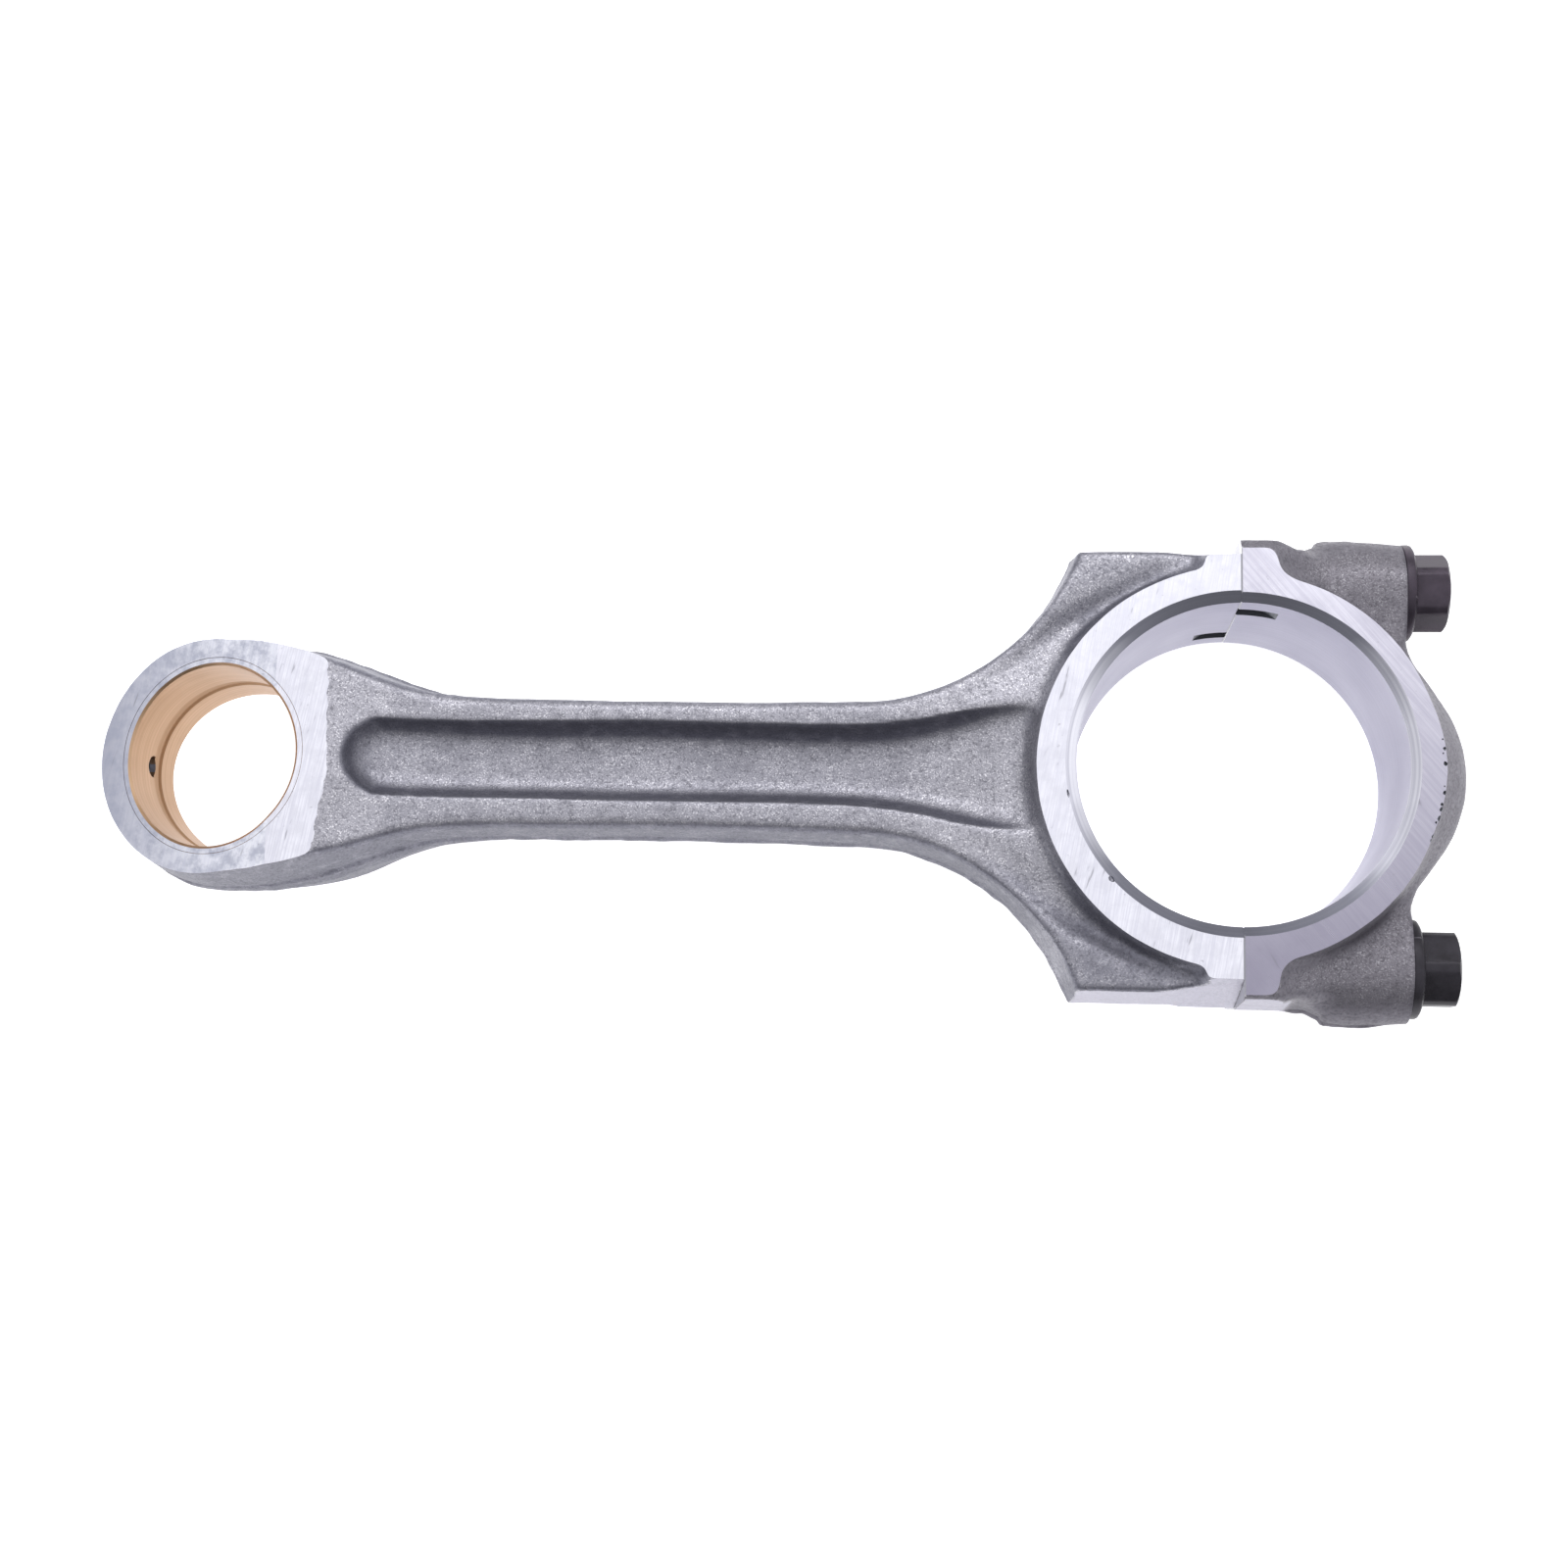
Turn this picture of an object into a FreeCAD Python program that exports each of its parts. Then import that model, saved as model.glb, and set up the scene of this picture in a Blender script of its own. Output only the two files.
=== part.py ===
# Connecting rod with bolted bearing cap, for a diesel engine. Millimetres.
# +X runs from the small end to the cap, +Y is across the rod in its plane and +Z
# is along the bores. The origin is the big-end bore axis at mid-width.
import FreeCAD, Part
import math
import os
import Sketcher

V = FreeCAD.Vector
doc = FreeCAD.newDocument("ConnectingRod")
sheet = doc.addObject("Spreadsheet::Sheet", "Dims")

SIZES = [
    # bores and width
    ("centre_distance", 219.1), ("face_half", 20.2), ("big_bore_rad", 33.6),
    ("big_cham_rad", 35.9), ("big_cham_deep", 1.5), ("bush_bore_rad", 19.86),
    ("bush_outer_rad", 21.55), ("bush_cham", 0.5), ("oil_hole_rad", 2.4),
    ("groove_rad", 20.35), ("groove_low", -4.4), ("groove_high", -1.2),
    # wedge-shaped small end
    ("wedge_start", -204.4), ("wedge_slope", 0.222), ("wedge_far", -262.0),
    ("land_end", -193.0), ("eye_rad", 27.9), ("eye_tan_deg", 4.0),
    # forged outline at the parting plane
    ("draft_deg", 6.5), ("neck_a_x", -202.5), ("neck_a_half", 26.2), ("neck_b_x", -190.5),
    ("neck_b_half", 23.3), ("neck_near", -177.5), ("neck_near_half", 18.6),
    ("neck_blend_rad", 55.0), ("shank_near", -160.0), ("shank_half", 15.6),
    ("shank_far", -80.0), ("fan_blend_rad", 47.7), ("shoulder_x", -34.7),
    ("shoulder_half", 48.9), ("joint_half", 48.5), ("past_joint", 8.0),
    # thickness along the rod
    ("drop_blend_rad", 60.0), ("shank_top_x", -163.5), ("shank_top", 12.3),
    ("shank_top_end", -80.0), ("fan_top_x", -44.0), ("fan_top", 15.0),
    # I-section recess
    ("web_half", 4.0), ("recess_draft", 12.0), ("recess_half", 7.2),
    ("recess_nose_x", -178.8), ("recess_flare_x", -72.0), ("recess_end_x", -42.0),
    ("recess_end_half", 13.5), ("recess_flare_rad", 74.6), ("recess_stop", -30.0),
    ("rail_round", 2.2), ("recess_round", 4.0),
    # machined ring and ears
    ("ring_rad", 42.3), ("ring_draft", 12.0), ("ear_x", 6.5), ("ear_half", 44.3),
    ("ear_root_x", 10.5), ("ear_root_half", 40.6),
    ("ear_deep", 5.6), ("ear_draft", 30.0), ("cap_ear_x", 4.6),
    ("cap_ear_root_x", 8.6), ("cap_ear_root_half", 39.2),
    # cap
    ("cap_ring_rad", 40.4), ("cap_half", 49.9), ("cap_side_end", 14.0),
    ("boss_rad", 12.3), ("boss_start_rad", 8.6), ("boss_full_x", 20.6), ("boss_seat_rad", 11.2),
    ("seat_x", 35.1), ("seat_inner", 23.5), ("back_centre_x", 20.0), ("cap_back_rad", 27.9),
    ("back_blank_rad", 28.6), ("cap_top", 15.0), ("cap_low", 9.5),
    ("cap_web_half", 41.0), ("cap_web_end", 30.0),
    # bolts and their holes
    ("bolt_y", 40.2), ("land_rad", 5.2), ("land_hole_rad", 5.25),
    ("land_long", 9.0), ("waist_rad", 4.6), ("thread_rad", 5.0),
    ("tapped_rad", 5.05), ("bolt_reach", 28.0), ("hole_deep", 31.0),
    ("counterbore", 10.0), ("flange_rad", 10.4), ("flange_thick", 2.5),
    ("flange_rim", 1.3), ("flange_cone_rad", 8.2),
    ("hex_half_flat", 7.5), ("hex_high", 7.3), ("hex_cham", 1.1), ("hex_end_rad", 6.9),
    ("turn_plus", -21.5), ("turn_minus", 0.0),
    # shell tang slots
    ("rod_tang_low", -13.7), ("cap_tang_low", 7.9), ("tang_wide", 5.0),
    ("rod_tang_y", 23.2), ("rod_tang_rad", 12.0), ("cap_tang_y", 20.8), ("cap_tang_rad", 14.4),
]
VALUES = dict(SIZES)
for row, (alias, value) in enumerate(SIZES, start=1):
    sheet.set("A%d" % row, alias)
    sheet.set("B%d" % row, str(value))
    sheet.setAlias("B%d" % row, alias)
doc.recompute()


class Q:
    """A number together with the spreadsheet expression that gives it."""

    def __init__(self, value, text=None):
        self.v = float(value)
        self.s = text if text is not None else repr(float(value))

    def _of(self, other):
        return other if isinstance(other, Q) else Q(other)

    def __add__(self, o):
        o = self._of(o)
        return Q(self.v + o.v, "(%s + %s)" % (self.s, o.s))

    __radd__ = __add__

    def __sub__(self, o):
        o = self._of(o)
        return Q(self.v - o.v, "(%s - %s)" % (self.s, o.s))

    def __rsub__(self, o):
        return self._of(o) - self

    def __mul__(self, o):
        o = self._of(o)
        return Q(self.v * o.v, "(%s * %s)" % (self.s, o.s))

    __rmul__ = __mul__

    def __truediv__(self, o):
        o = self._of(o)
        return Q(self.v / o.v, "(%s / %s)" % (self.s, o.s))

    def __neg__(self):
        return Q(-self.v, "(-1 * %s)" % self.s)


def D(alias):
    return Q(VALUES[alias], "Dims." + alias)


def sin_deg(q):
    return Q(math.sin(math.radians(q.v)), "sin(%s * 1 deg)" % q.s)


def cos_deg(q):
    return Q(math.cos(math.radians(q.v)), "cos(%s * 1 deg)" % q.s)


def new_body(label):
    body = doc.addObject("PartDesign::Body", label)
    body.Label = label
    return body


def origin_of(body, role):
    for item in body.Origin.OriginFeatures:
        if item.Role == role:
            return item
    raise RuntimeError("no " + role)


def new_sketch(body, name, plane, shift=None):
    """shift is (x, y, z) in the sketch's own axes, as Q or numbers; z is along its normal."""
    sk = body.newObject("Sketcher::SketchObject", name)
    sk.AttachmentSupport = [(origin_of(body, plane), "")]
    sk.MapMode = "FlatFace"
    if shift is not None:
        qs = [q if isinstance(q, Q) else Q(q) for q in shift]
        sk.AttachmentOffset = FreeCAD.Placement(V(*[q.v for q in qs]), FreeCAD.Rotation())
        for axis, q in zip("xyz", qs):
            if "Dims" in q.s:
                sk.setExpression("AttachmentOffset.Base." + axis, q.s)
    return sk


def bind(sk, constraint, text):
    index = sk.addConstraint(constraint)
    if "Dims" in text:
        sk.setExpression("Constraints[%d]" % index, text)
    return index


def place_point(sk, geo, pos, x, y):
    for kind, q, axis in (("DistanceX", x, -2), ("DistanceY", y, -1)):
        if abs(q.v) < 1e-9:
            sk.addConstraint(Sketcher.Constraint("PointOnObject", geo, pos, axis))
        elif q.v > 0:
            bind(sk, Sketcher.Constraint(kind, -1, 1, geo, pos, q.v), q.s)
        else:
            bind(sk, Sketcher.Constraint(kind, geo, pos, -1, 1, -q.v), (-q).s)


def loop(sk, points):
    """A closed outline. Each entry is (x, y) or (x, y, radius, side): the edge to the next point is
    an arc of that radius when one is given, and side +1 bulges to the right of travel, -1 to the left."""
    pts = []
    for p in points:
        x, y = (q if isinstance(q, Q) else Q(q) for q in p[:2])
        arc = None
        if len(p) > 2:
            arc = (p[2] if isinstance(p[2], Q) else Q(p[2]), p[3])
        pts.append((x, y, arc))
    edges = []
    count = len(pts)
    for i, (x, y, arc) in enumerate(pts):
        nx, ny, _ = pts[(i + 1) % count]
        a, b = V(x.v, y.v, 0), V(nx.v, ny.v, 0)
        if arc is None:
            edges.append((sk.addGeometry(Part.LineSegment(a, b), False), 1, 2, None))
            continue
        radius, side = arc
        chord = b.sub(a)
        half = chord.Length / 2
        rise = math.sqrt(max(radius.v ** 2 - half ** 2, 0))
        left = V(-chord.y, chord.x, 0).normalize()
        centre = a.add(chord.multiply(0.5)).add(left.multiply(rise * side))
        ta = math.atan2(a.y - centre.y, a.x - centre.x)
        tb = math.atan2(b.y - centre.y, b.x - centre.x)
        circle = Part.Circle(centre, V(0, 0, 1), radius.v)
        if side > 0:  # bulging right of travel is anticlockwise
            if tb < ta:
                tb += 2 * math.pi
            edges.append((sk.addGeometry(Part.ArcOfCircle(circle, ta, tb), False), 1, 2, radius))
        else:
            if ta < tb:
                ta += 2 * math.pi
            edges.append((sk.addGeometry(Part.ArcOfCircle(circle, tb, ta), False), 2, 1, radius))
    for i, (geo, start, end, radius) in enumerate(edges):
        other = edges[(i + 1) % count]
        sk.addConstraint(Sketcher.Constraint("Coincident", geo, end, other[0], other[1]))
    for i, (geo, start, end, radius) in enumerate(edges):
        place_point(sk, geo, start, pts[i][0], pts[i][1])
        if radius is not None:
            bind(sk, Sketcher.Constraint("Radius", geo, radius.v), radius.s)
    return sk


def ring(sk, x, y, radius):
    x, y = (q if isinstance(q, Q) else Q(q) for q in (x, y))
    geo = sk.addGeometry(Part.Circle(V(x.v, y.v, 0), V(0, 0, 1), radius.v), False)
    if abs(x.v) < 1e-9 and abs(y.v) < 1e-9:
        sk.addConstraint(Sketcher.Constraint("Coincident", geo, 3, -1, 1))
    else:
        place_point(sk, geo, 3, x, y)
    bind(sk, Sketcher.Constraint("Radius", geo, radius.v), radius.s)
    return sk


def feature(body, kind, name, profile=None, **values):
    before = body.Tip.Shape.Volume if body.Tip is not None and body.Tip.isDerivedFrom("PartDesign::Feature") and not body.Tip.Shape.isNull() else 0.0
    item = body.newObject("PartDesign::" + kind, name)
    if profile is not None:
        item.Profile = profile
        profile.Visibility = False
    for key, value in values.items():
        if isinstance(value, Q):
            setattr(item, key, value.v)
            if "Dims" in value.s:
                item.setExpression(key, value.s)
        else:
            setattr(item, key, value)
    body.Tip = item
    doc.recompute()
    if item.Shape.isNull() or not item.Shape.isValid() or "Invalid" in item.State or "Error" in item.State:
        raise RuntimeError("%s.%s is not valid: %s null %s" % (body.Label, name, item.State, item.Shape.isNull()))
    after = item.Shape.Volume
    print("%-18s %-22s %10.1f -> %10.1f mm3" % (body.Label, name, before, after))
    if abs(after - before) < 1e-3 and kind not in ("Mirrored",):
        raise RuntimeError("%s.%s changed nothing" % (body.Label, name))
    return item


half = D("face_half")
cd = D("centre_distance")


def wedge_cut(body, name):
    """Both tapered faces of the small end: everything outside them, towards the tip."""
    far, start = D("wedge_far"), D("wedge_start")
    low = half - (start - far) * D("wedge_slope")
    for sign in (1, -1):
        sk = new_sketch(body, "%s%s" % (name, "Top" if sign > 0 else "Under"), "XZ_Plane")
        loop(sk, [(start, sign * half), (start, Q(sign * 26)), (far, Q(sign * 26)), (far, sign * low)])
        feature(body, "Pocket", sk.Name + "Cut", sk, Type="ThroughAll", Midplane=True)


# ---------------------------------------------------------------- rod
rod = new_body("rod")
turn = D("eye_tan_deg")
eye_x = D("eye_rad") * sin_deg(turn) - cd
eye_y = D("eye_rad") * cos_deg(turn)


def both_sides(upper):
    """upper: points from left to right with y > 0, with the arc data of the edge to the next one.
    Returns the whole loop, clockwise over the top and back underneath."""
    lower = []
    for i in range(len(upper) - 1, -1, -1):
        p = upper[i]
        arc = upper[i - 1][2:] if i > 0 else ()
        lower.append((p[0], -p[1]) + tuple(arc))
    return list(upper) + lower


upper = [
    (eye_x, eye_y),
    (D("neck_a_x"), D("neck_a_half")),
    (D("neck_b_x"), D("neck_b_half")),
    (D("neck_near"), D("neck_near_half"), D("neck_blend_rad"), 1),
    (D("shank_near"), D("shank_half")),
    (D("shank_far"), D("shank_half"), D("fan_blend_rad"), 1),
    (D("shoulder_x"), D("shoulder_half")),
    (D("past_joint"), D("joint_half")),
]
points = both_sides(upper)
points[-1] = (points[-1][0], points[-1][1], D("eye_rad"), -1)
points.append((-cd - D("eye_rad"), Q(0), D("eye_rad"), -1))
sk = loop(new_sketch(rod, "ForgedOutline", "XY_Plane"), points)
blank = feature(rod, "Pad", "ForgedBlank", sk, Length=half + 2, TaperAngle=-D("draft_deg"))

sk = loop(new_sketch(rod, "ThicknessProfile", "XZ_Plane"), [
    (D("wedge_far"), half + 6),
    (D("wedge_far"), half),
    (D("land_end"), half, D("drop_blend_rad"), 1),
    (D("shank_top_x"), D("shank_top")),
    (D("shank_top_end"), D("shank_top")),
    (D("fan_top_x"), D("fan_top")),
    (D("past_joint") + 6, D("fan_top")),
    (D("past_joint") + 6, half + 6),
])
feature(rod, "Pocket", "ThicknessCut", sk, Type="ThroughAll", Midplane=True)
sk = loop(new_sketch(rod, "RecessOutline", "XY_Plane", (0, 0, D("web_half"))), [
    (D("recess_nose_x"), -D("recess_half"), D("recess_half"), -1),
    (D("recess_nose_x") - D("recess_half"), Q(0), D("recess_half"), -1),
    (D("recess_nose_x"), D("recess_half")),
    (D("recess_flare_x"), D("recess_half"), D("recess_flare_rad"), 1),
    (D("recess_end_x"), D("recess_end_half")),
    (D("recess_stop"), D("recess_end_half")),
    (D("recess_stop"), -D("recess_end_half")),
    (D("recess_end_x"), -D("recess_end_half"), D("recess_flare_rad"), 1),
    (D("recess_flare_x"), -D("recess_half")),
])
recess = feature(rod, "Pocket", "Recess", sk, Length=half, Reversed=True, TaperAngle=D("recess_draft"))
floor_edges = []
for i, e in enumerate(recess.Shape.Edges, 1):
    box = e.BoundBox
    if abs(box.ZMin - VALUES["web_half"]) < 1e-4 and abs(box.ZMax - VALUES["web_half"]) < 1e-4 and box.XMax < VALUES["recess_stop"] - 1:
        floor_edges.append("Edge%d" % i)
feature(rod, "Fillet", "RecessFillet", None, Base=(recess, floor_edges), Radius=D("recess_round"))
rail = rod.Tip
rail_edges = []
for i, e in enumerate(rail.Shape.Edges, 1):
    mid = e.valueAt((e.FirstParameter + e.LastParameter) / 2)
    box = e.BoundBox
    if box.XMin > VALUES["shank_top_x"] - 1 and box.XMax < VALUES["fan_top_x"] + 1 and mid.z > 8 and abs(mid.y) > VALUES["recess_half"] + 7 and box.XLength > 4:
        rail_edges.append("Edge%d" % i)
        print("rail edge", i, mid)
feature(rod, "Fillet", "RailFillet", None, Base=(rail, rail_edges), Radius=D("rail_round"))

sk = ring(new_sketch(rod, "RingOutline", "XY_Plane", (0, 0, half)), 0, 0, D("ring_rad"))
feature(rod, "Pad", "BigEndRing", sk, Length=half, Reversed=True, TaperAngle=D("ring_draft"))
sk = loop(new_sketch(rod, "EarOutline", "XY_Plane", (0, 0, half)), [
    (-D("ear_x"), -D("ear_half")), (-D("ear_root_x"), -D("ear_root_half")),
    (-D("ear_root_x"), D("ear_root_half")), (-D("ear_x"), D("ear_half")),
    (D("past_joint"), D("ear_half")), (D("past_joint"), -D("ear_half")),
])
feature(rod, "Pad", "JointEars", sk, Length=D("ear_deep"), Reversed=True, TaperAngle=D("ear_draft"))
doc.recompute()
mirrored = rod.newObject("PartDesign::Mirrored", "UnderSide")
mirrored.TransformMode = "Whole shape"
mirrored.MirrorPlane = (origin_of(rod, "XY_Plane"), [""])
rod.Tip = mirrored
doc.recompute()
print("mirrored", mirrored.Shape.Volume, mirrored.State)

wedge_cut(rod, "Wedge")
sk = loop(new_sketch(rod, "JointPlane", "XZ_Plane"), [
    (Q(0), Q(-30)), (Q(60), Q(-30)), (Q(60), Q(30)), (Q(0), Q(30)),
])
feature(rod, "Pocket", "JointCut", sk, Type="ThroughAll", Midplane=True)


def bore_profile(body, name):
    sk = new_sketch(body, name, "XZ_Plane")
    r, rc, dc = D("big_bore_rad"), D("big_cham_rad"), D("big_cham_deep")
    loop(sk, [
        (Q(0), -(half + 3)), (rc, -(half + 3)), (rc, -half), (r, -(half - dc)),
        (r, half - dc), (rc, half), (rc, half + 3), (Q(0), half + 3),
    ])
    return sk


feature(rod, "Groove", "BigEndBore", bore_profile(rod, "BoreProfile"),
        ReferenceAxis=(origin_of(rod, "Z_Axis"), [""]), Angle=360.0)
sk = ring(new_sketch(rod, "EyeOutline", "XY_Plane"), -cd, 0, D("bush_outer_rad"))
feature(rod, "Pocket", "EyeBore", sk, Type="ThroughAll", Midplane=True)
sk = ring(new_sketch(rod, "OilOutline", "YZ_Plane", (0, 0, -cd)), 0, 0, D("oil_hole_rad"))
feature(rod, "Pocket", "OilHole", sk, Length=Q(40))
sk = new_sketch(rod, "FittedHoles", "YZ_Plane")
ring(sk, D("bolt_y"), 0, D("land_hole_rad"))
ring(sk, -D("bolt_y"), 0, D("land_hole_rad"))
feature(rod, "Pocket", "FittedHolesCut", sk, Length=D("counterbore"))
sk = new_sketch(rod, "TappedHoles", "YZ_Plane")
ring(sk, D("bolt_y"), 0, D("tapped_rad"))
ring(sk, -D("bolt_y"), 0, D("tapped_rad"))
feature(rod, "Pocket", "TappedHolesCut", sk, Length=D("hole_deep"))
sk = ring(new_sketch(rod, "TangOutline", "XY_Plane", (0, 0, D("rod_tang_low"))), 0, D("rod_tang_y"), D("rod_tang_rad"))
feature(rod, "Pocket", "TangSlot", sk, Length=D("tang_wide"), Reversed=True)

# ---------------------------------------------------------------- bearing cap
cap = new_body("bearing_cap")
upper = [
    (-D("past_joint"), D("cap_half")),
    (D("cap_side_end"), D("cap_half")),
    (D("cap_side_end") + 5, D("cap_half") - 3),
    (D("seat_x"), D("cap_half") - 3),
    (D("seat_x"), D("seat_inner"), D("back_blank_rad"), -1),
]
lower = [(p[0], -p[1]) for p in upper][::-1]
points = upper + lower
sk = loop(new_sketch(cap, "CapOutline", "XY_Plane"), points)
feature(cap, "Pad", "CapBlank", sk, Length=D("cap_top"), TaperAngle=-D("draft_deg"))
sk = loop(new_sketch(cap, "CapProfile", "XZ_Plane"), [
    (D("cap_side_end") - 2, D("cap_top") + 4), (D("cap_side_end") - 2, D("cap_top")),
    (D("cap_web_end") - 4, D("cap_low")), (Q(62), D("cap_low")), (Q(62), D("cap_top") + 4),
])
feature(cap, "Pocket", "CapProfileCut", sk, Type="ThroughAll", Midplane=True)
sk = ring(new_sketch(cap, "CapRingOutline", "XY_Plane", (0, 0, half)), 0, 0, D("cap_ring_rad"))
feature(cap, "Pad", "CapRing", sk, Length=half, Reversed=True, TaperAngle=D("ring_draft"))
sk = loop(new_sketch(cap, "CapEarOutline", "XY_Plane", (0, 0, half)), [
    (-D("past_joint"), -D("ear_half")), (-D("past_joint"), D("ear_half")),
    (D("cap_ear_x"), D("ear_half")), (D("cap_ear_root_x"), D("cap_ear_root_half")),
    (D("cap_ear_root_x"), -D("cap_ear_root_half")), (D("cap_ear_x"), -D("ear_half")),
])
feature(cap, "Pad", "CapEars", sk, Length=D("ear_deep"), Reversed=True, TaperAngle=D("ear_draft"))
mirrored = cap.newObject("PartDesign::Mirrored", "CapUnderSide")
mirrored.TransformMode = "Whole shape"
mirrored.MirrorPlane = (origin_of(cap, "XY_Plane"), [""])
cap.Tip = mirrored
doc.recompute()
print("mirrored", mirrored.Shape.Volume, mirrored.State)
for sign, tag in ((1, "PlusY"), (-1, "MinusY")):
    sk = new_sketch(cap, "Boss" + tag, "XY_Plane", (0, sign * D("bolt_y"), 0))
    loop(sk, [
        (Q(-2), Q(0)), (Q(-2), D("boss_start_rad")), (D("cap_side_end"), D("boss_start_rad")),
        (D("boss_full_x"), D("boss_rad")), (D("seat_x"), D("boss_seat_rad")), (D("seat_x"), Q(0)),
    ])
    feature(cap, "Revolution", "BoltBoss" + tag, sk, ReferenceAxis=(sk, ["H_Axis"]), Angle=360.0)
back_top = D("cap_ring_rad") - D("back_centre_x")
sk = loop(new_sketch(cap, "BackProfile", "XZ_Plane", (D("back_centre_x"), 0, 0)), [
    (Q(8.0), -half), (back_top, -half, Q(27.0), 1),
    (D("cap_back_rad"), Q(-5.0)), (D("cap_back_rad"), Q(5.0), Q(27.0), 1),
    (back_top, half), (Q(8.0), half),
])
feature(cap, "Revolution", "CapBack", sk, ReferenceAxis=(sk, ["V_Axis"]), Angle=130.0, Midplane=True)
for sign, tag in ((1, "PlusY"), (-1, "MinusY")):
    sk = loop(new_sketch(cap, "Seat" + tag, "XY_Plane"), [
        (D("seat_x"), sign * D("seat_inner")), (D("seat_x"), Q(sign * 70)), (Q(60), Q(sign * 70)), (Q(60), sign * D("seat_inner")),
    ])
    feature(cap, "Pocket", "SeatCut" + tag, sk, Type="ThroughAll", Midplane=True)
sk = loop(new_sketch(cap, "CapJointPlane", "XZ_Plane"), [
    (Q(0), Q(-30)), (Q(-60), Q(-30)), (Q(-60), Q(30)), (Q(0), Q(30)),
])
feature(cap, "Pocket", "CapJointCut", sk, Type="ThroughAll", Midplane=True)
feature(cap, "Groove", "CapBore", bore_profile(cap, "CapBoreProfile"),
        ReferenceAxis=(origin_of(cap, "Z_Axis"), [""]), Angle=360.0)
sk = new_sketch(cap, "CapBoltHoles", "YZ_Plane")
ring(sk, D("bolt_y"), 0, D("land_hole_rad"))
ring(sk, -D("bolt_y"), 0, D("land_hole_rad"))
feature(cap, "Pocket", "CapBoltHolesCut", sk, Length=Q(60), Reversed=True)
sk = ring(new_sketch(cap, "CapTangOutline", "XY_Plane", (0, 0, D("cap_tang_low"))), 0, D("cap_tang_y"), D("cap_tang_rad"))
feature(cap, "Pocket", "CapTangSlot", sk, Length=D("tang_wide"), Reversed=True)

# ---------------------------------------------------------------- small-end bush
bush = new_body("small_end_bush")
sk = new_sketch(bush, "BushSection", "XY_Plane")
ring(sk, -cd, 0, D("bush_outer_rad"))
ring(sk, -cd, 0, D("bush_bore_rad"))
feature(bush, "Pad", "BushTube", sk, Length=2 * half, Midplane=True)
wedge_cut(bush, "BushWedge")
sk = new_sketch(bush, "GrooveProfile", "XZ_Plane", (-cd, 0, 0))
loop(sk, [
    (D("bush_bore_rad") - 1, D("groove_low")), (D("groove_rad"), D("groove_low")),
    (D("groove_rad"), D("groove_high")), (D("bush_bore_rad") - 1, D("groove_high")),
])
feature(bush, "Groove", "OilGroove", sk, ReferenceAxis=(sk, ["V_Axis"]), Angle=360.0)
sk = ring(new_sketch(bush, "BushOilOutline", "YZ_Plane", (0, 0, -cd)), 0, 0, D("oil_hole_rad"))
hole = feature(bush, "Pocket", "BushOilHole", sk, Length=Q(40))
rim = []
for i, e in enumerate(hole.Shape.Edges, 1):
    mid = e.valueAt((e.FirstParameter + e.LastParameter) / 2)
    ends = [v.Point for v in e.Vertexes] + [mid]
    radii = [math.hypot(p.x + VALUES["centre_distance"], p.y) for p in ends]
    if all(abs(r - VALUES["bush_bore_rad"]) < 1e-3 for r in radii) and all(abs(p.z) > 8 for p in ends):
        rim.append("Edge%d" % i)
feature(bush, "Chamfer", "BushEdge", None, Base=(hole, rim), Size=D("bush_cham"))

# ---------------------------------------------------------------- bolts
for label, sign, angle in (("bolt_plus_y", 1, D("turn_plus")), ("bolt_minus_y", -1, D("turn_minus"))):
    bolt = new_body(label)
    seat = D("seat_x")
    sk = loop(new_sketch(bolt, "TurnedProfile_" + label, "XY_Plane"), [
        (-D("bolt_reach"), Q(0)), (-D("bolt_reach"), D("thread_rad") - 1), (1 - D("bolt_reach"), D("thread_rad")),
        (-(D("land_long") + 2), D("thread_rad")), (-(D("land_long") + 1), D("waist_rad")), (-D("land_long"), D("waist_rad")),
        (0.6 - D("land_long"), D("land_rad")), (D("land_long") - 0.6, D("land_rad")), (D("land_long"), D("waist_rad")),
        (seat, D("waist_rad")), (seat, D("flange_rad")), (seat + D("flange_rim"), D("flange_rad")),
        (seat + D("flange_thick"), D("flange_cone_rad")), (seat + D("flange_thick"), Q(0)),
    ])
    feature(bolt, "Revolution", "Turned_" + label, sk, ReferenceAxis=(sk, ["H_Axis"]), Angle=360.0)
    corner = D("hex_half_flat") / cos_deg(Q(30))
    sk = new_sketch(bolt, "HexOutline_" + label, "YZ_Plane", (0, 0, seat + D("flange_thick")))
    loop(sk, [(corner * sin_deg(Q(60 * i)), corner * cos_deg(Q(60 * i))) for i in range(6)])
    feature(bolt, "Pad", "Hex_" + label, sk, Length=D("hex_high"))
    top = seat + D("flange_thick") + D("hex_high")
    sk = loop(new_sketch(bolt, "HexChamfer_" + label, "XY_Plane"), [
        (top + 2, D("hex_end_rad")), (top, D("hex_end_rad")), (top - D("hex_cham"), corner + 0.2), (top + 2, corner + 0.2),
    ])
    feature(bolt, "Groove", "HexCorner_" + label, sk, ReferenceAxis=(sk, ["H_Axis"]), Angle=360.0)
    bolt.Placement = FreeCAD.Placement(V(0, sign * VALUES["bolt_y"], 0), FreeCAD.Rotation(V(1, 0, 0), angle.v))
    bolt.setExpression("Placement.Base.y", "%d * Dims.bolt_y" % sign)
    bolt.setExpression("Placement.Rotation.Angle", angle.s + " * 1 deg")

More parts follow.
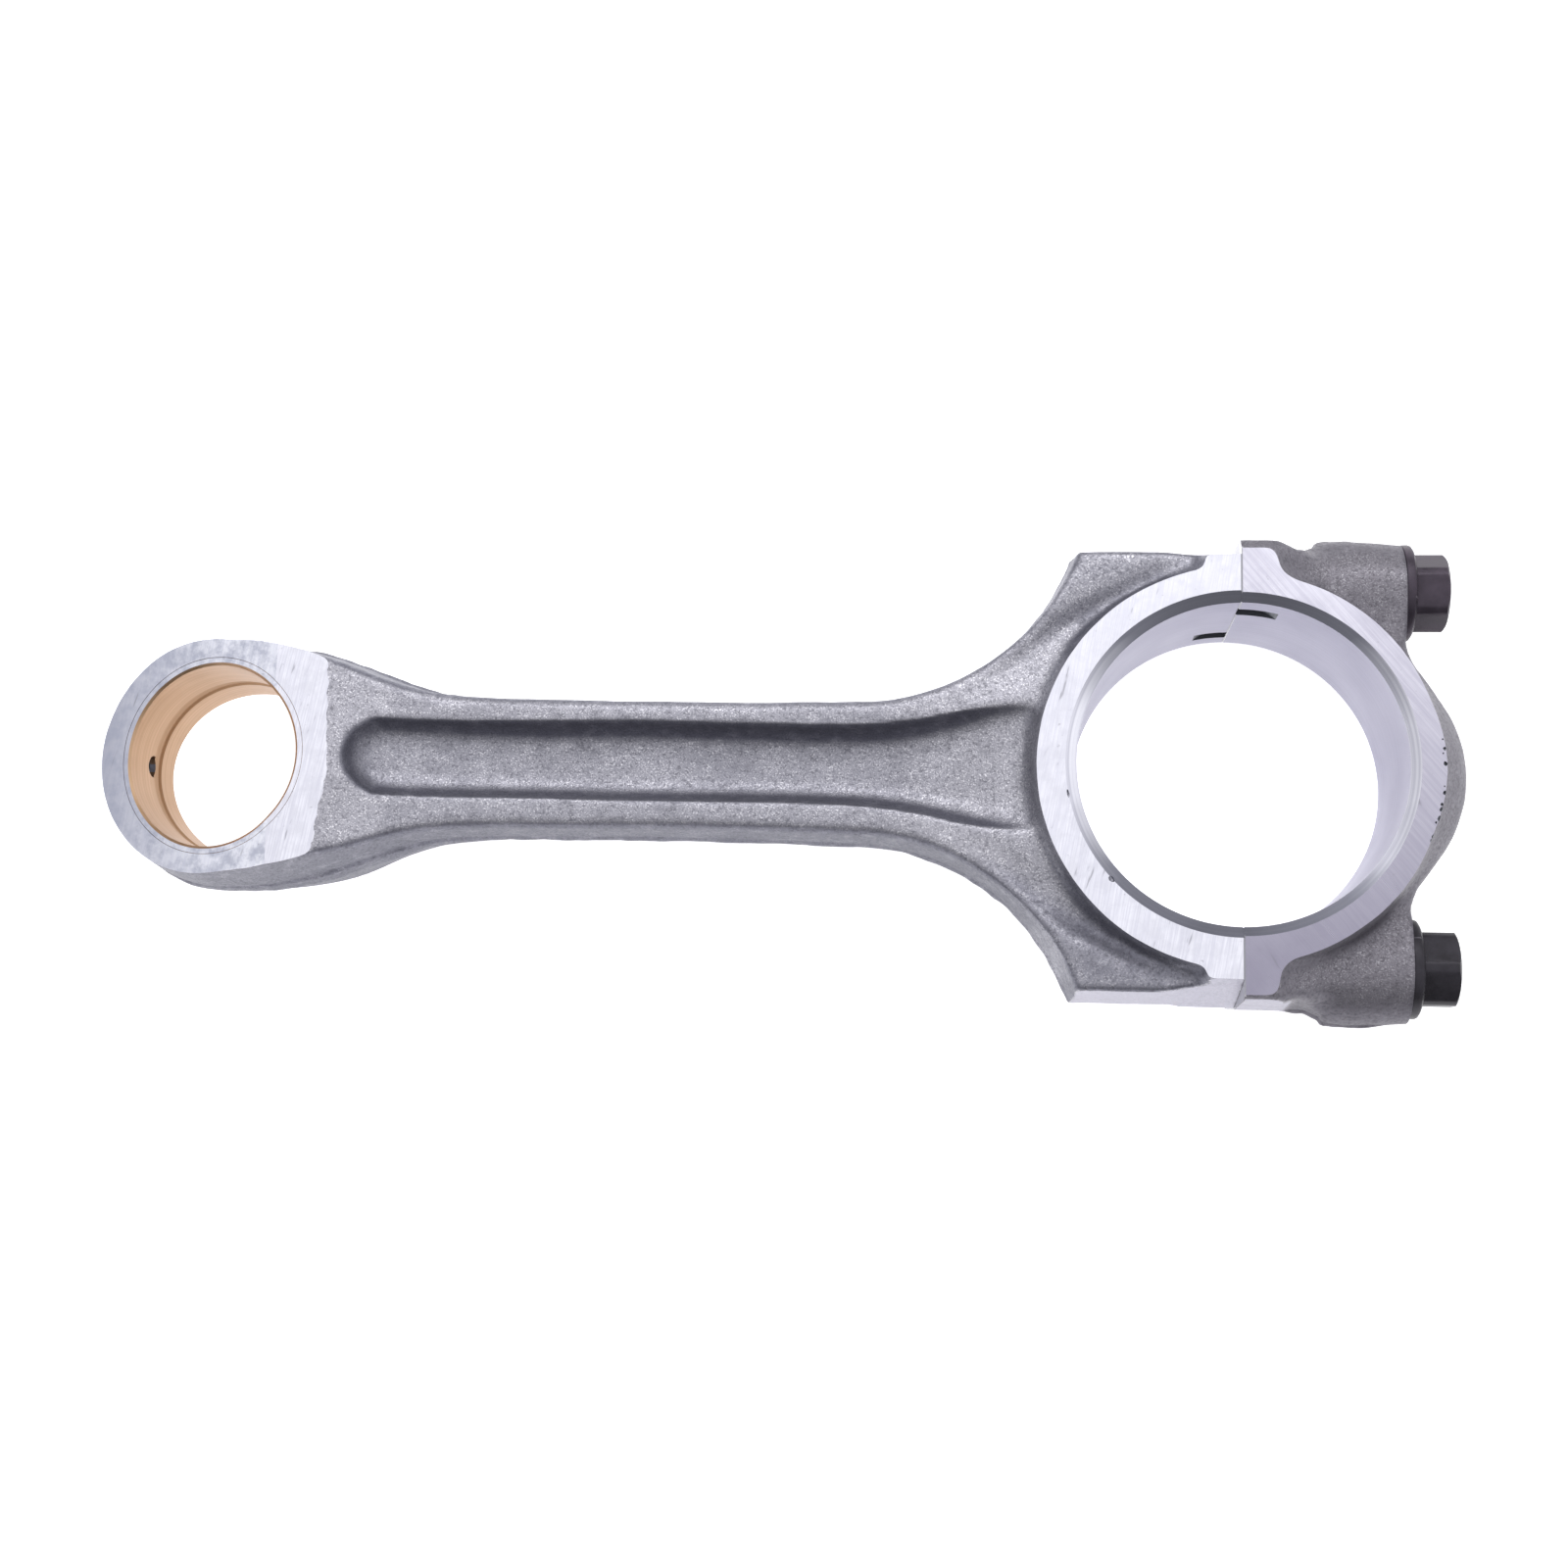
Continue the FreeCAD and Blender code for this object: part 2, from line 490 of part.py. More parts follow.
doc.recompute()
for item in doc.Objects:
    if "Invalid" in item.State or "Error" in item.State:
        raise RuntimeError("%s: %s" % (item.Name, item.State))
os.makedirs("parts", exist_ok=True)
for item in doc.Objects:
    if item.TypeId != "PartDesign::Body":
        continue
    shape = item.Shape
    if shape.isNull() or not shape.isValid() or len(shape.Solids) != 1:
        raise RuntimeError("%s: null, invalid or not one solid (%d)" % (item.Label, len(shape.Solids)))
    shape.exportStep("parts/%s.step" % item.Label)
    box = shape.BoundBox
    print("%-16s %9.1f mm3  x %.2f..%.2f  y %.2f..%.2f  z %.2f..%.2f" % (
        item.Label, shape.Volume, box.XMin, box.XMax, box.YMin, box.YMax, box.ZMin, box.ZMax))
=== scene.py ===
# Looks of the connecting rod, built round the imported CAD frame. Working unit of the
# geometry is the millimetre; each mesh is scaled to metres when its object is made.
import math

import bmesh
import bpy
import numpy as np
import openvdb
from mathutils import Matrix, Vector


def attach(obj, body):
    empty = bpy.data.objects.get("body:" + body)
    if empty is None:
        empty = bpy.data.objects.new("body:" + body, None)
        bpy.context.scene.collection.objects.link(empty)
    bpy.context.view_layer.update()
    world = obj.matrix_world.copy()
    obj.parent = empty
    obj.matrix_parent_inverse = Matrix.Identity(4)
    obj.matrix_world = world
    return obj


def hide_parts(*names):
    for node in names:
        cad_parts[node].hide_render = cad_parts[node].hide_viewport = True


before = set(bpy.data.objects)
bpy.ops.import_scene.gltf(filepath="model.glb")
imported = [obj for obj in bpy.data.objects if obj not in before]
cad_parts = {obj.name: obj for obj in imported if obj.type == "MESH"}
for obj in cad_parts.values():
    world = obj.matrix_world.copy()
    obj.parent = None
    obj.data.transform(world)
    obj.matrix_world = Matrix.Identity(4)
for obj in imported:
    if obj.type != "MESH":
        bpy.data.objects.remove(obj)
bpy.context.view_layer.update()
VOXEL = 0.67
TURN = 256  # facets round a bore

# ------------------------------------------------------------------ sizes, mm
EYE_X, HALF = -219.1, 20.2
BORE_R, BORE_CHAM_R, BORE_CHAM_Z = 33.6, 35.9, 1.5
CAP_CHAM_R, CAP_CHAM_Z = 35.55, 1.3
BUSH_R, BUSH_OUT = 19.86, 21.55
WEDGE_X, WEDGE_SLOPE = -204.4, 0.222
BOLT_Y, SEAT_X, SEAT_IN = 40.2, 35.1, 27.6
PITCH, MAJOR, MINOR = 1.25, 5.0, 4.3
DRAFT = math.tan(math.radians(7.0))
DRAFT_C = math.cos(math.radians(7.0))
RNG = np.random.default_rng(20261)


# ------------------------------------------------------------------ fields
def smax(a, b, k):
    d = np.maximum(k - np.abs(a - b), 0) / k
    return np.maximum(a, b) + d * d * (k * 0.25)


def smin(a, b, k):
    return -smax(-a, -b, k)


def ramp(x, a, b):
    u = np.clip((x - a) / (b - a), 0, 1)
    return u * u * (3 - 2 * u)


def lattice(x, y, z, cell, seed):
    """Smooth noise in -1..1 with features of about cell mm."""
    g = np.random.default_rng(seed).uniform(-1, 1, (32, 32, 32)).astype(np.float32)
    out = 0
    p = [c / cell for c in (x, y, z)]
    i = [np.floor(c).astype(np.int32) for c in p]
    f = [(c - j).astype(np.float32) for c, j in zip(p, i)]
    f = [c * c * (3 - 2 * c) for c in f]
    for dx in (0, 1):
        for dy in (0, 1):
            for dz in (0, 1):
                w = (f[0] if dx else 1 - f[0]) * (f[1] if dy else 1 - f[1]) * (f[2] if dz else 1 - f[2])
                out = out + w * g[(i[0] + dx) % 32, (i[1] + dy) % 32, (i[2] + dz) % 32]
    return out


def outline_distance(points, x, y):
    """Signed distance from a closed outline, negative inside."""
    best = np.full(x.shape, 1e9, np.float32)
    inside = np.zeros(x.shape, bool)
    n = len(points)
    for k in range(n):
        (ax, ay), (bx, by) = points[k], points[(k + 1) % n]
        ex, ey = bx - ax, by - ay
        px, py = x - ax, y - ay
        u = np.clip((px * ex + py * ey) / max(ex * ex + ey * ey, 1e-9), 0, 1)
        best = np.minimum(best, (px - u * ex) ** 2 + (py - u * ey) ** 2)
        crossing = ((ay > y) != (by > y))
        if ey != 0:
            inside ^= crossing & (x < ax + (y - ay) / ey * ex)
    d = np.sqrt(best)
    return np.where(inside, -d, d)


def arc(cx, cy, r, a0, a1, n=24):
    return [(cx + r * math.cos(math.radians(a0 + (a1 - a0) * i / n)),
             cy + r * math.sin(math.radians(a0 + (a1 - a0) * i / n))) for i in range(n + 1)]


def curve_through(points, step=6):
    """Catmull-Rom through the points."""
    out = []
    p = [points[0]] + list(points) + [points[-1]]
    for i in range(1, len(p) - 2):
        for j in range(step):
            t = j / step
            out.append(tuple(
                0.5 * (2 * p[i][c] + (p[i + 1][c] - p[i - 1][c]) * t
                       + (2 * p[i - 1][c] - 5 * p[i][c] + 4 * p[i + 1][c] - p[i + 2][c]) * t * t
                       + (3 * p[i][c] - p[i - 1][c] - 3 * p[i + 1][c] + p[i + 2][c]) * t ** 3)
                for c in (0, 1)))
    out.append(points[-1])
    return out


def both(upper):
    return list(upper) + [(x, -y) for x, y in reversed(upper)]


def axes_of(low, high):
    return [np.arange(math.floor(a / VOXEL) - 1, math.ceil(b / VOXEL) + 2, dtype=np.float32) * VOXEL
            for a, b in zip(low, high)]


def surface(field, ax):
    """Vertices in mm and quads of the field's zero surface, drawn exactly onto it."""
    grid = openvdb.FloatGrid(9.0)
    grid.copyFromArray(np.ascontiguousarray(np.clip(field, -3 * VOXEL, 3 * VOXEL), np.float32))
    pts, quads = grid.convertToQuads(0.0)
    pts = np.array(pts, np.float64)
    grads = np.gradient(field)
    top = np.array(field.shape) - 2

    def sample(arr, p):
        i = np.clip(np.floor(p).astype(int), 0, top)
        f = p - i
        out = 0
        for dx in (0, 1):
            for dy in (0, 1):
                for dz in (0, 1):
                    w = ((f[:, 0] if dx else 1 - f[:, 0]) * (f[:, 1] if dy else 1 - f[:, 1])
                         * (f[:, 2] if dz else 1 - f[:, 2]))
                    out = out + w * arr[i[:, 0] + dx, i[:, 1] + dy, i[:, 2] + dz]
        return out

    for _ in range(2):
        v = sample(field, pts)
        g = np.stack([sample(c, pts) for c in grads], 1)
        move = (v / np.maximum((g * g).sum(1), 1e-3))[:, None] * g
        size = np.linalg.norm(move, axis=1, keepdims=True)
        pts -= move * np.minimum(1, 0.35 / np.maximum(size, 1e-9))
    origin = np.array([a[0] for a in ax])
    return pts * VOXEL + origin, np.array(quads, np.int64)


# ------------------------------------------------------------------ meshes
def new_mesh_object(name, verts, faces):
    me = bpy.data.meshes.new(name)
    if isinstance(faces, np.ndarray):
        me.vertices.add(len(verts))
        me.vertices.foreach_set("co", np.asarray(verts, np.float32).ravel())
        n, k = faces.shape
        me.loops.add(n * k)
        me.loops.foreach_set("vertex_index", faces.astype(np.int32).ravel())
        me.polygons.add(n)
        me.polygons.foreach_set("loop_start", np.arange(0, n * k, k, dtype=np.int32))
        me.update(calc_edges=True)
    else:
        me.from_pydata([tuple(v) for v in verts], [], faces)
        me.update()
    me.validate()
    ob = bpy.data.objects.new(name, me)
    bpy.context.collection.objects.link(ob)
    return ob


def fix_normals(ob):
    bm = bmesh.new()
    bm.from_mesh(ob.data)
    bmesh.ops.recalc_face_normals(bm, faces=bm.faces)
    if bm.calc_volume(signed=True) < 0:
        bmesh.ops.reverse_faces(bm, faces=bm.faces)
    bm.to_mesh(ob.data)
    bm.free()
    return ob


def prism(name, outline, axis, low, high):
    """A flat outline pushed along an axis: outline is in the other two axes, in order."""
    n = len(outline)
    verts = []
    for h in (low, high):
        for a, b in outline:
            v = {"x": (h, a, b), "y": (a, h, b), "z": (a, b, h)}[axis]
            verts.append(v)
    faces = [list(range(n)), list(range(2 * n - 1, n - 1, -1))]
    faces += [[i, i + n, (i + 1) % n + n, (i + 1) % n] for i in range(n)]
    return fix_normals(new_mesh_object(name, verts, faces))


def lathe(name, profile, centre, axis, segments=None, start=0.0):
    """A closed solid turned from (radius, height) points; the ends lie on the axis or are closed flat."""
    segments = segments or TURN
    verts, rows = [], []
    for r, h in profile:
        if r < 1e-6:
            rows.append([len(verts)])
            ring = [(0.0, 0.0)]
        else:
            rows.append(list(range(len(verts), len(verts) + segments)))
            ring = [(r * math.cos(start + 2 * math.pi * i / segments), r * math.sin(start + 2 * math.pi * i / segments))
                    for i in range(segments)]
        for a, b in ring:
            v = {"z": (a, b, h), "x": (h, a, b)}[axis]
            verts.append((v[0] + centre[0], v[1] + centre[1], v[2] + centre[2]))
    faces = []
    for lo, hi in zip(rows[:-1], rows[1:]):
        for i in range(segments):
            j = (i + 1) % segments
            if len(lo) == 1 and len(hi) == 1:
                continue
            if len(lo) == 1:
                faces.append([lo[0], hi[j], hi[i]])
            elif len(hi) == 1:
                faces.append([lo[i], lo[j], hi[0]])
            else:
                faces.append([lo[i], lo[j], hi[j], hi[i]])
    if len(rows[0]) > 1:
        faces.append(list(reversed(rows[0])))
    if len(rows[-1]) > 1:
        faces.append(rows[-1])
    return fix_normals(new_mesh_object(name, verts, faces))


def helix(name, y, x0, x1, r_in, r_out, half_in, half_out, fade_from=None, steps=36, phase=0.0):
    """A ridge of trapezoid section wound along X about (y, z=0). It fades out past fade_from."""
    turns = (x1 - x0) / PITCH
    n = int(turns * steps)
    verts, faces = [], []
    for i in range(n + 1):
        x = x0 + (x1 - x0) * i / n
        a = 2 * math.pi * x / PITCH + phase
        ro, ri = r_out, r_in
        if fade_from is not None:
            u = (x - fade_from) / (x1 - fade_from)
            u = min(max(u, 0), 1)
            ri = r_in + (r_out - r_in) * 0.97 * u
        for r, dx in ((ri, -half_in), (ro, -half_out), (ro, half_out), (ri, half_in)):
            verts.append((x + dx, y + r * math.cos(a), r * math.sin(a)))
    for i in range(n):
        a, b = 4 * i, 4 * i + 4
        for k in range(4):
            faces.append([a + k, a + (k + 1) % 4, b + (k + 1) % 4, b + k])
    faces.append([0, 1, 2, 3])
    faces.append([4 * n + 3, 4 * n + 2, 4 * n + 1, 4 * n])
    return fix_normals(new_mesh_object(name, verts, faces))


def combine(base, cutters, how="DIFFERENCE"):
    """Exact boolean of base with each cutter, which is then deleted."""
    for c in cutters:
        m = base.modifiers.new("cut", "BOOLEAN")
        m.operation = how
        m.solver = "MANIFOLD"
        m.object = c
        dep = bpy.context.evaluated_depsgraph_get()
        dep.update()
        me = bpy.data.meshes.new_from_object(base.evaluated_get(dep), depsgraph=dep)
        base.modifiers.clear()
        if len(me.polygons) == 0:
            raise RuntimeError("boolean emptied " + base.name + " with " + c.name)
        old = base.data
        base.data = me
        bpy.data.meshes.remove(old)
        bpy.data.objects.remove(c, do_unlink=True)
    return base


def poly_arrays(me):
    n = len(me.polygons)
    c, nn = np.empty(n * 3, np.float32), np.empty(n * 3, np.float32)
    me.polygons.foreach_get("center", c)
    me.polygons.foreach_get("normal", nn)
    return c.reshape(-1, 3), nn.reshape(-1, 3)


def painted_light_tone(me, fan):
    """A vertex value that paints light and shade into the skin: 1 where the skin is open and faces up, painted lit,
    bright and sparkling; 0 in hollows and on walls, painted shade, where the skin also stays smooth.
    """
    n = len(me.vertices)
    co, no = np.empty(n * 3, np.float32), np.empty(n * 3, np.float32)
    me.vertices.foreach_get("co", co)
    me.vertices.foreach_get("normal", no)
    co, no = co.reshape(-1, 3).astype(np.float64), no.reshape(-1, 3)
    e = np.empty(len(me.edges) * 2, np.int32)
    me.edges.foreach_get("vertices", e)
    a, b = e.reshape(-1, 2).T
    count = np.maximum(np.bincount(a, minlength=n) + np.bincount(b, minlength=n), 1)

    def around(v):
        return (np.bincount(a, v[b], n) + np.bincount(b, v[a], n)) / count

    mean = np.stack([around(co[:, k]) for k in range(3)], 1)
    hollow = ((mean - co) * no).sum(1) / (VOXEL * VOXEL)
    for _ in range(7):
        hollow = around(hollow)
    up = np.abs(no[:, 2]).astype(np.float64)
    for _ in range(2):
        up = around(up)
    # painted light on up-facing surfaces and painted shade in hollows
    tone = ramp(up, 0.62, 0.95) * (1 - ramp(hollow, 0.02, 0.10))
    x = co[:, 0]
    if fan:
        # painted shade along the fan's valley, deeper on the -Y side
        trough = np.interp(x, [-74, -65, -56, -47.5, -41.5, -34, -26, -16], [12.6, 14.4, 17.5, 21.6, 25.6, 30.0, 34.3, 38.6])
        trough_shade = np.where(co[:, 1] < 0, 0.80, 0.50) * ramp(x, -72, -46) * ramp(np.abs(co[:, 1]) - trough, -1.5, 3.0)
        # painted highlight on convex up-facing ridges
        tone = tone * (1 - trough_shade) + 0.2 * ramp(-hollow, 0.004, 0.03) * ramp(up, 0.7, 0.95)
        # painted light on faces of the fan turned towards -X
        tone = np.maximum(tone, 0.55 * ramp(-no[:, 0].astype(np.float64), 0.45, 0.8) * ramp(x, -60, -52) * (1 - ramp(x, -38, -34)))
        # painted shade on the steep walls beside the fan
        wall = ramp(np.abs(no[:, 1]).astype(np.float64), 0.45, 0.75) * ramp(np.abs(co[:, 1]), 13, 16) * (1 - ramp(up, 0.2, 0.6))
        tone = tone - 0.55 * wall * ramp(x, -92, -66) * (1 - ramp(x, -38, -34))
        well = ((np.abs(co[:, 1]) < 17) & (x > -192) & (x < -34) & (np.abs(co[:, 2]) < 15)).astype(float)
        for _ in range(2):
            well = around(well)
        # painted shade on the up-facing floor of the recess
        tone = tone * (1 - 0.40 * well * ramp(up, 0.6, 0.9) * (1 - ramp(x, -75, -55)))
        # painted shade on the recess walls, strongest on those facing -Y; painted light on those facing +X
        facing = 0.22 * ramp(x, -184, -178) + 0.78 * ramp(-no[:, 1].astype(np.float64), 0.3, 0.75)
        tone = np.maximum(tone, 0.35 * well * ramp(no[:, 0].astype(np.float64), 0.3, 0.7) * (1 - ramp(x, -183, -176)))
        tone = tone - 1.15 * well * facing * (1 - ramp(up, 0.25, 0.80)) * (1 - ramp(x, -60, -40))
    # painted bounce light on the side flanks
    flank = ramp(np.abs(no[:, 1].astype(np.float64)), 0.90, 0.97) * ramp(np.abs(co[:, 1]), 41, 43)
    flank = flank * (ramp(x, -37, -35) * (1 - ramp(x, 9.5, 11.5)) if not fan else ramp(x, -37, -35))
    tone = np.maximum(tone, 2.0 * flank)
    at = me.attributes.new("tone", "FLOAT", "POINT")
    at.data.foreach_set("value", np.clip(tone, -1, 2).astype(np.float32))


def tidy(ob, classes, mats, rough_angle=50.0, tone=None):
    """Gives each face its material, makes edges sharp where two finishes meet, and scales to metres."""
    me = ob.data
    bm = bmesh.new()
    bm.from_mesh(me)
    bmesh.ops.dissolve_degenerate(bm, dist=0.002, edges=bm.edges)
    bmesh.ops.triangulate(bm, faces=[f for f in bm.faces if len(f.verts) > 4])
    bm.to_mesh(me)
    bm.free()
    c, n = poly_arrays(me)
    idx = classes(c, n).astype(np.int32)
    me.materials.clear()
    for m in mats:
        me.materials.append(m)
    me.polygons.foreach_set("material_index", idx)
    me.polygons.foreach_set("use_smooth", np.ones(len(me.polygons), bool))
    bm = bmesh.new()
    bm.from_mesh(me)
    limit = math.radians(rough_angle)
    fine = math.radians(14)
    for e in bm.edges:
        if len(e.link_faces) != 2:
            continue
        a, b = e.link_faces
        ang = e.calc_face_angle(0)
        e.smooth = not (a.material_index != b.material_index and ang > 0.02 or ang > (limit if a.material_index == 0 else fine))
    bm.to_mesh(me)
    bm.free()
    # painted light and shade for the forging skin, kept as the vertex attribute tone
    if tone is not None:
        painted_light_tone(me, tone)
    me.transform(Matrix.Scale(0.001, 4))
    me.update()
    return ob


# ------------------------------------------------------------------ materials
def material(name):
    m = bpy.data.materials.new(name)
    m.use_nodes = True
    nt = m.node_tree
    nt.nodes.clear()
    out = nt.nodes.new("ShaderNodeOutputMaterial")
    bsdf = nt.nodes.new("ShaderNodeBsdfPrincipled")
    nt.links.new(bsdf.outputs[0], out.inputs[0])
    return m, nt, bsdf


def coords(nt, scale=(1, 1, 1), turn=(0, 0, 0)):
    tc = nt.nodes.new("ShaderNodeTexCoord")
    if turn != (0, 0, 0):
        first = nt.nodes.new("ShaderNodeMapping")
        first.inputs["Rotation"].default_value = turn
        nt.links.new(tc.outputs["Object"], first.inputs["Vector"])
        source = first.outputs[0]
    else:
        source = tc.outputs["Object"]
    mp = nt.nodes.new("ShaderNodeMapping")
    mp.inputs["Scale"].default_value = scale
    nt.links.new(source, mp.inputs["Vector"])
    return mp.outputs[0]


def noise(nt, vector, scale, detail=2.0, rough=0.5):
    n = nt.nodes.new("ShaderNodeTexNoise")
    n.inputs["Scale"].default_value = scale
    n.inputs["Detail"].default_value = detail
    n.inputs["Roughness"].default_value = rough
    nt.links.new(vector, n.inputs["Vector"])
    return n.outputs["Fac"]


def remap(nt, value, a, b, lo, hi):
    r = nt.nodes.new("ShaderNodeMapRange")
    r.inputs["From Min"].default_value = a
    r.inputs["From Max"].default_value = b
    r.inputs["To Min"].default_value = lo
    r.inputs["To Max"].default_value = hi
    r.clamp = True
    nt.links.new(value, r.inputs["Value"])
    return r.outputs[0]


def mix(nt, fac, a, b):
    m = nt.nodes.new("ShaderNodeMix")
    m.data_type = "RGBA"
    for key, val in (("A", a), ("B", b)):
        sock = [s for s in m.inputs if s.name == key and s.type == "RGBA"][0]
        if isinstance(val, tuple):
            sock.default_value = (*val, 1)
        else:
            nt.links.new(val, sock)
    fsock = [s for s in m.inputs if s.name == "Factor" and s.type == "VALUE"][0]
    if isinstance(fac, float):
        fsock.default_value = fac
    else:
        nt.links.new(fac, fsock)
    return [s for s in m.outputs if s.type == "RGBA"][0]


def math_node(nt, op, a, b):
    m = nt.nodes.new("ShaderNodeMath")
    m.operation = op
    for i, v in enumerate((a, b)):
        if isinstance(v, (int, float)):
            m.inputs[i].default_value = v
        else:
            nt.links.new(v, m.inputs[i])
    return m.outputs[0]


def bump(nt, height, strength, distance, before=None):
    b = nt.nodes.new("ShaderNodeBump")
    b.inputs["Strength"].default_value = strength
    b.inputs["Distance"].default_value = distance
    nt.links.new(height, b.inputs["Height"])
    if before is not None:
        nt.links.new(before, b.inputs["Normal"])
    return b.outputs[0]


def axis_value(nt, axis):
    tc = nt.nodes.new("ShaderNodeTexCoord")
    sp = nt.nodes.new("ShaderNodeSeparateXYZ")
    nt.links.new(tc.outputs["Object"], sp.inputs[0])
    return sp.outputs["XYZ".index(axis)]


def scaled(colour, k):
    return tuple(c * k for c in colour)


def forged(name, dark_skin, light_skin, grain_scale=2900.0, spark=1.0):
    """Shot-blasted forging skin with fine grain: painted light and glints where the tone is high, on open up-facing
    surfaces; painted shade and a smoother grain in hollows and on walls.
    """
    m, nt, b = material(name)
    v = coords(nt)
    at = nt.nodes.new("ShaderNodeAttribute")
    at.attribute_name = "tone"
    patch = noise(nt, v, 75.0, 4.0, 0.6)
    mid = noise(nt, v, 360.0, 3.0, 0.6)
    grain = noise(nt, v, grain_scale, 1.5, 0.6)
    coarse = noise(nt, v, grain_scale * 0.5, 2.0, 0.6)
    part = remap(nt, at.outputs["Fac"], -1.0, 1.0, -1.0, 1.0)
    tone = math_node(nt, "ADD", part, math_node(nt, "MULTIPLY", math_node(nt, "SUBTRACT", patch, 0.5), 0.55))
    tone = remap(nt, tone, 0.0, 1.0, 0.0, 1.0)
    # the tone attribute mixes a shaded and a lit copy of the skin: painted light and shade, with random patches
    base = mix(nt, tone, dark_skin, light_skin)
    base = mix(nt, remap(nt, mid, 0.52, 0.70, 0.0, 0.25), base, scaled(light_skin, 1.15))
    base = mix(nt, remap(nt, mid, 0.30, 0.44, 0.30, 0.0), base, scaled(dark_skin, 0.72))
    base = mix(nt, remap(nt, coarse, 0.32, 0.47, 0.45, 0.0), base, scaled(dark_skin, 0.60))
    where = math_node(nt, "MULTIPLY", remap(nt, mid, 0.38, 0.60, 0.35, 1.0), remap(nt, tone, 0.15, 0.85, 0.12, 1.0))
    # painted glints: bright specks on the grain, most where the tone is high
    base = mix(nt, math_node(nt, "MULTIPLY", remap(nt, grain, 0.54, 0.70, 0.0, 0.95 * spark), where), base, (0.92, 0.91, 0.95))
    # painted shade where the tone is below zero, on the recess walls
    base = mix(nt, remap(nt, at.outputs["Fac"], -0.9, 0.0, 0.85, 0.0), base, scaled(dark_skin, 0.30))
    # painted bounce light where the tone is above one, on the side flanks
    base = mix(nt, math_node(nt, "MULTIPLY", remap(nt, at.outputs["Fac"], 1.15, 1.9, 0.0, 0.9), remap(nt, mid, 0.3, 0.5, 0.8, 1.0)), base, (0.46, 0.45, 0.52))
    nt.links.new(base, b.inputs["Base Color"])
    b.inputs["Metallic"].default_value = 0.85
    nt.links.new(remap(nt, coarse, 0.35, 0.7, 0.58, 0.42), b.inputs["Roughness"])
    h = math_node(nt, "ADD", math_node(nt, "MULTIPLY", grain, 0.8), math_node(nt, "MULTIPLY", coarse, 1.0))
    nt.links.new(bump(nt, math_node(nt, "MULTIPLY", h, remap(nt, tone, 0.0, 0.8, 0.45, 1.0)), 0.55, 0.00012), b.inputs["Normal"])
    return m


def machined(name, base_col, streak_col, angle, rough, fine=1500.0, along=26.0, depth=0.35, blot=None, blot_amount=0.0,
             blot_scale=70.0, shade=None):
    """Cut or ground metal with fine tool marks running one way."""
    m, nt, b = material(name)
    v1 = coords(nt, (along, fine, 60.0), (0, 0, math.radians(angle)))
    v2 = coords(nt, (along * 1.6, fine * 0.28, 60.0), (0, 0, math.radians(angle + 7)))
    s1, s2 = noise(nt, v1, 1.0, 3.0, 0.65), noise(nt, v2, 1.0, 2.0, 0.5)
    v = coords(nt)
    patch = noise(nt, v, blot_scale, 5.0, 0.62)
    specks = noise(nt, v, 900.0, 2.0, 0.5)
    base = mix(nt, remap(nt, s1, 0.40, 0.62, 0.0, 1.0), streak_col, base_col)
    base = mix(nt, remap(nt, s2, 0.56, 0.70, 0.0, 0.6), base, streak_col)
    # painted shade: the colour goes towards a darker one at the low end of one axis
    if shade is not None:  # (low, high, colour at the low end, amount, axis)
        base = mix(nt, remap(nt, axis_value(nt, shade[4]), shade[0], shade[1], shade[3], 0.0), base, shade[2])
    if blot is not None:
        base = mix(nt, remap(nt, patch, 0.42, 0.62, 0.0, blot_amount), base, blot)
    base = mix(nt, remap(nt, s2, 0.70, 0.76, 0.0, 0.55), base, scaled(streak_col, 0.35))
    base = mix(nt, remap(nt, specks, 0.70, 0.78, 0.0, 0.5), base, scaled(streak_col, 0.5))
    nt.links.new(base, b.inputs["Base Color"])
    b.inputs["Metallic"].default_value = 1.0
    nt.links.new(remap(nt, s1, 0.35, 0.65, rough + 0.10, rough - 0.06), b.inputs["Roughness"])
    h = math_node(nt, "ADD", s1, math_node(nt, "MULTIPLY", s2, 0.8))
    nt.links.new(bump(nt, h, depth, 0.00004), b.inputs["Normal"])
    return m


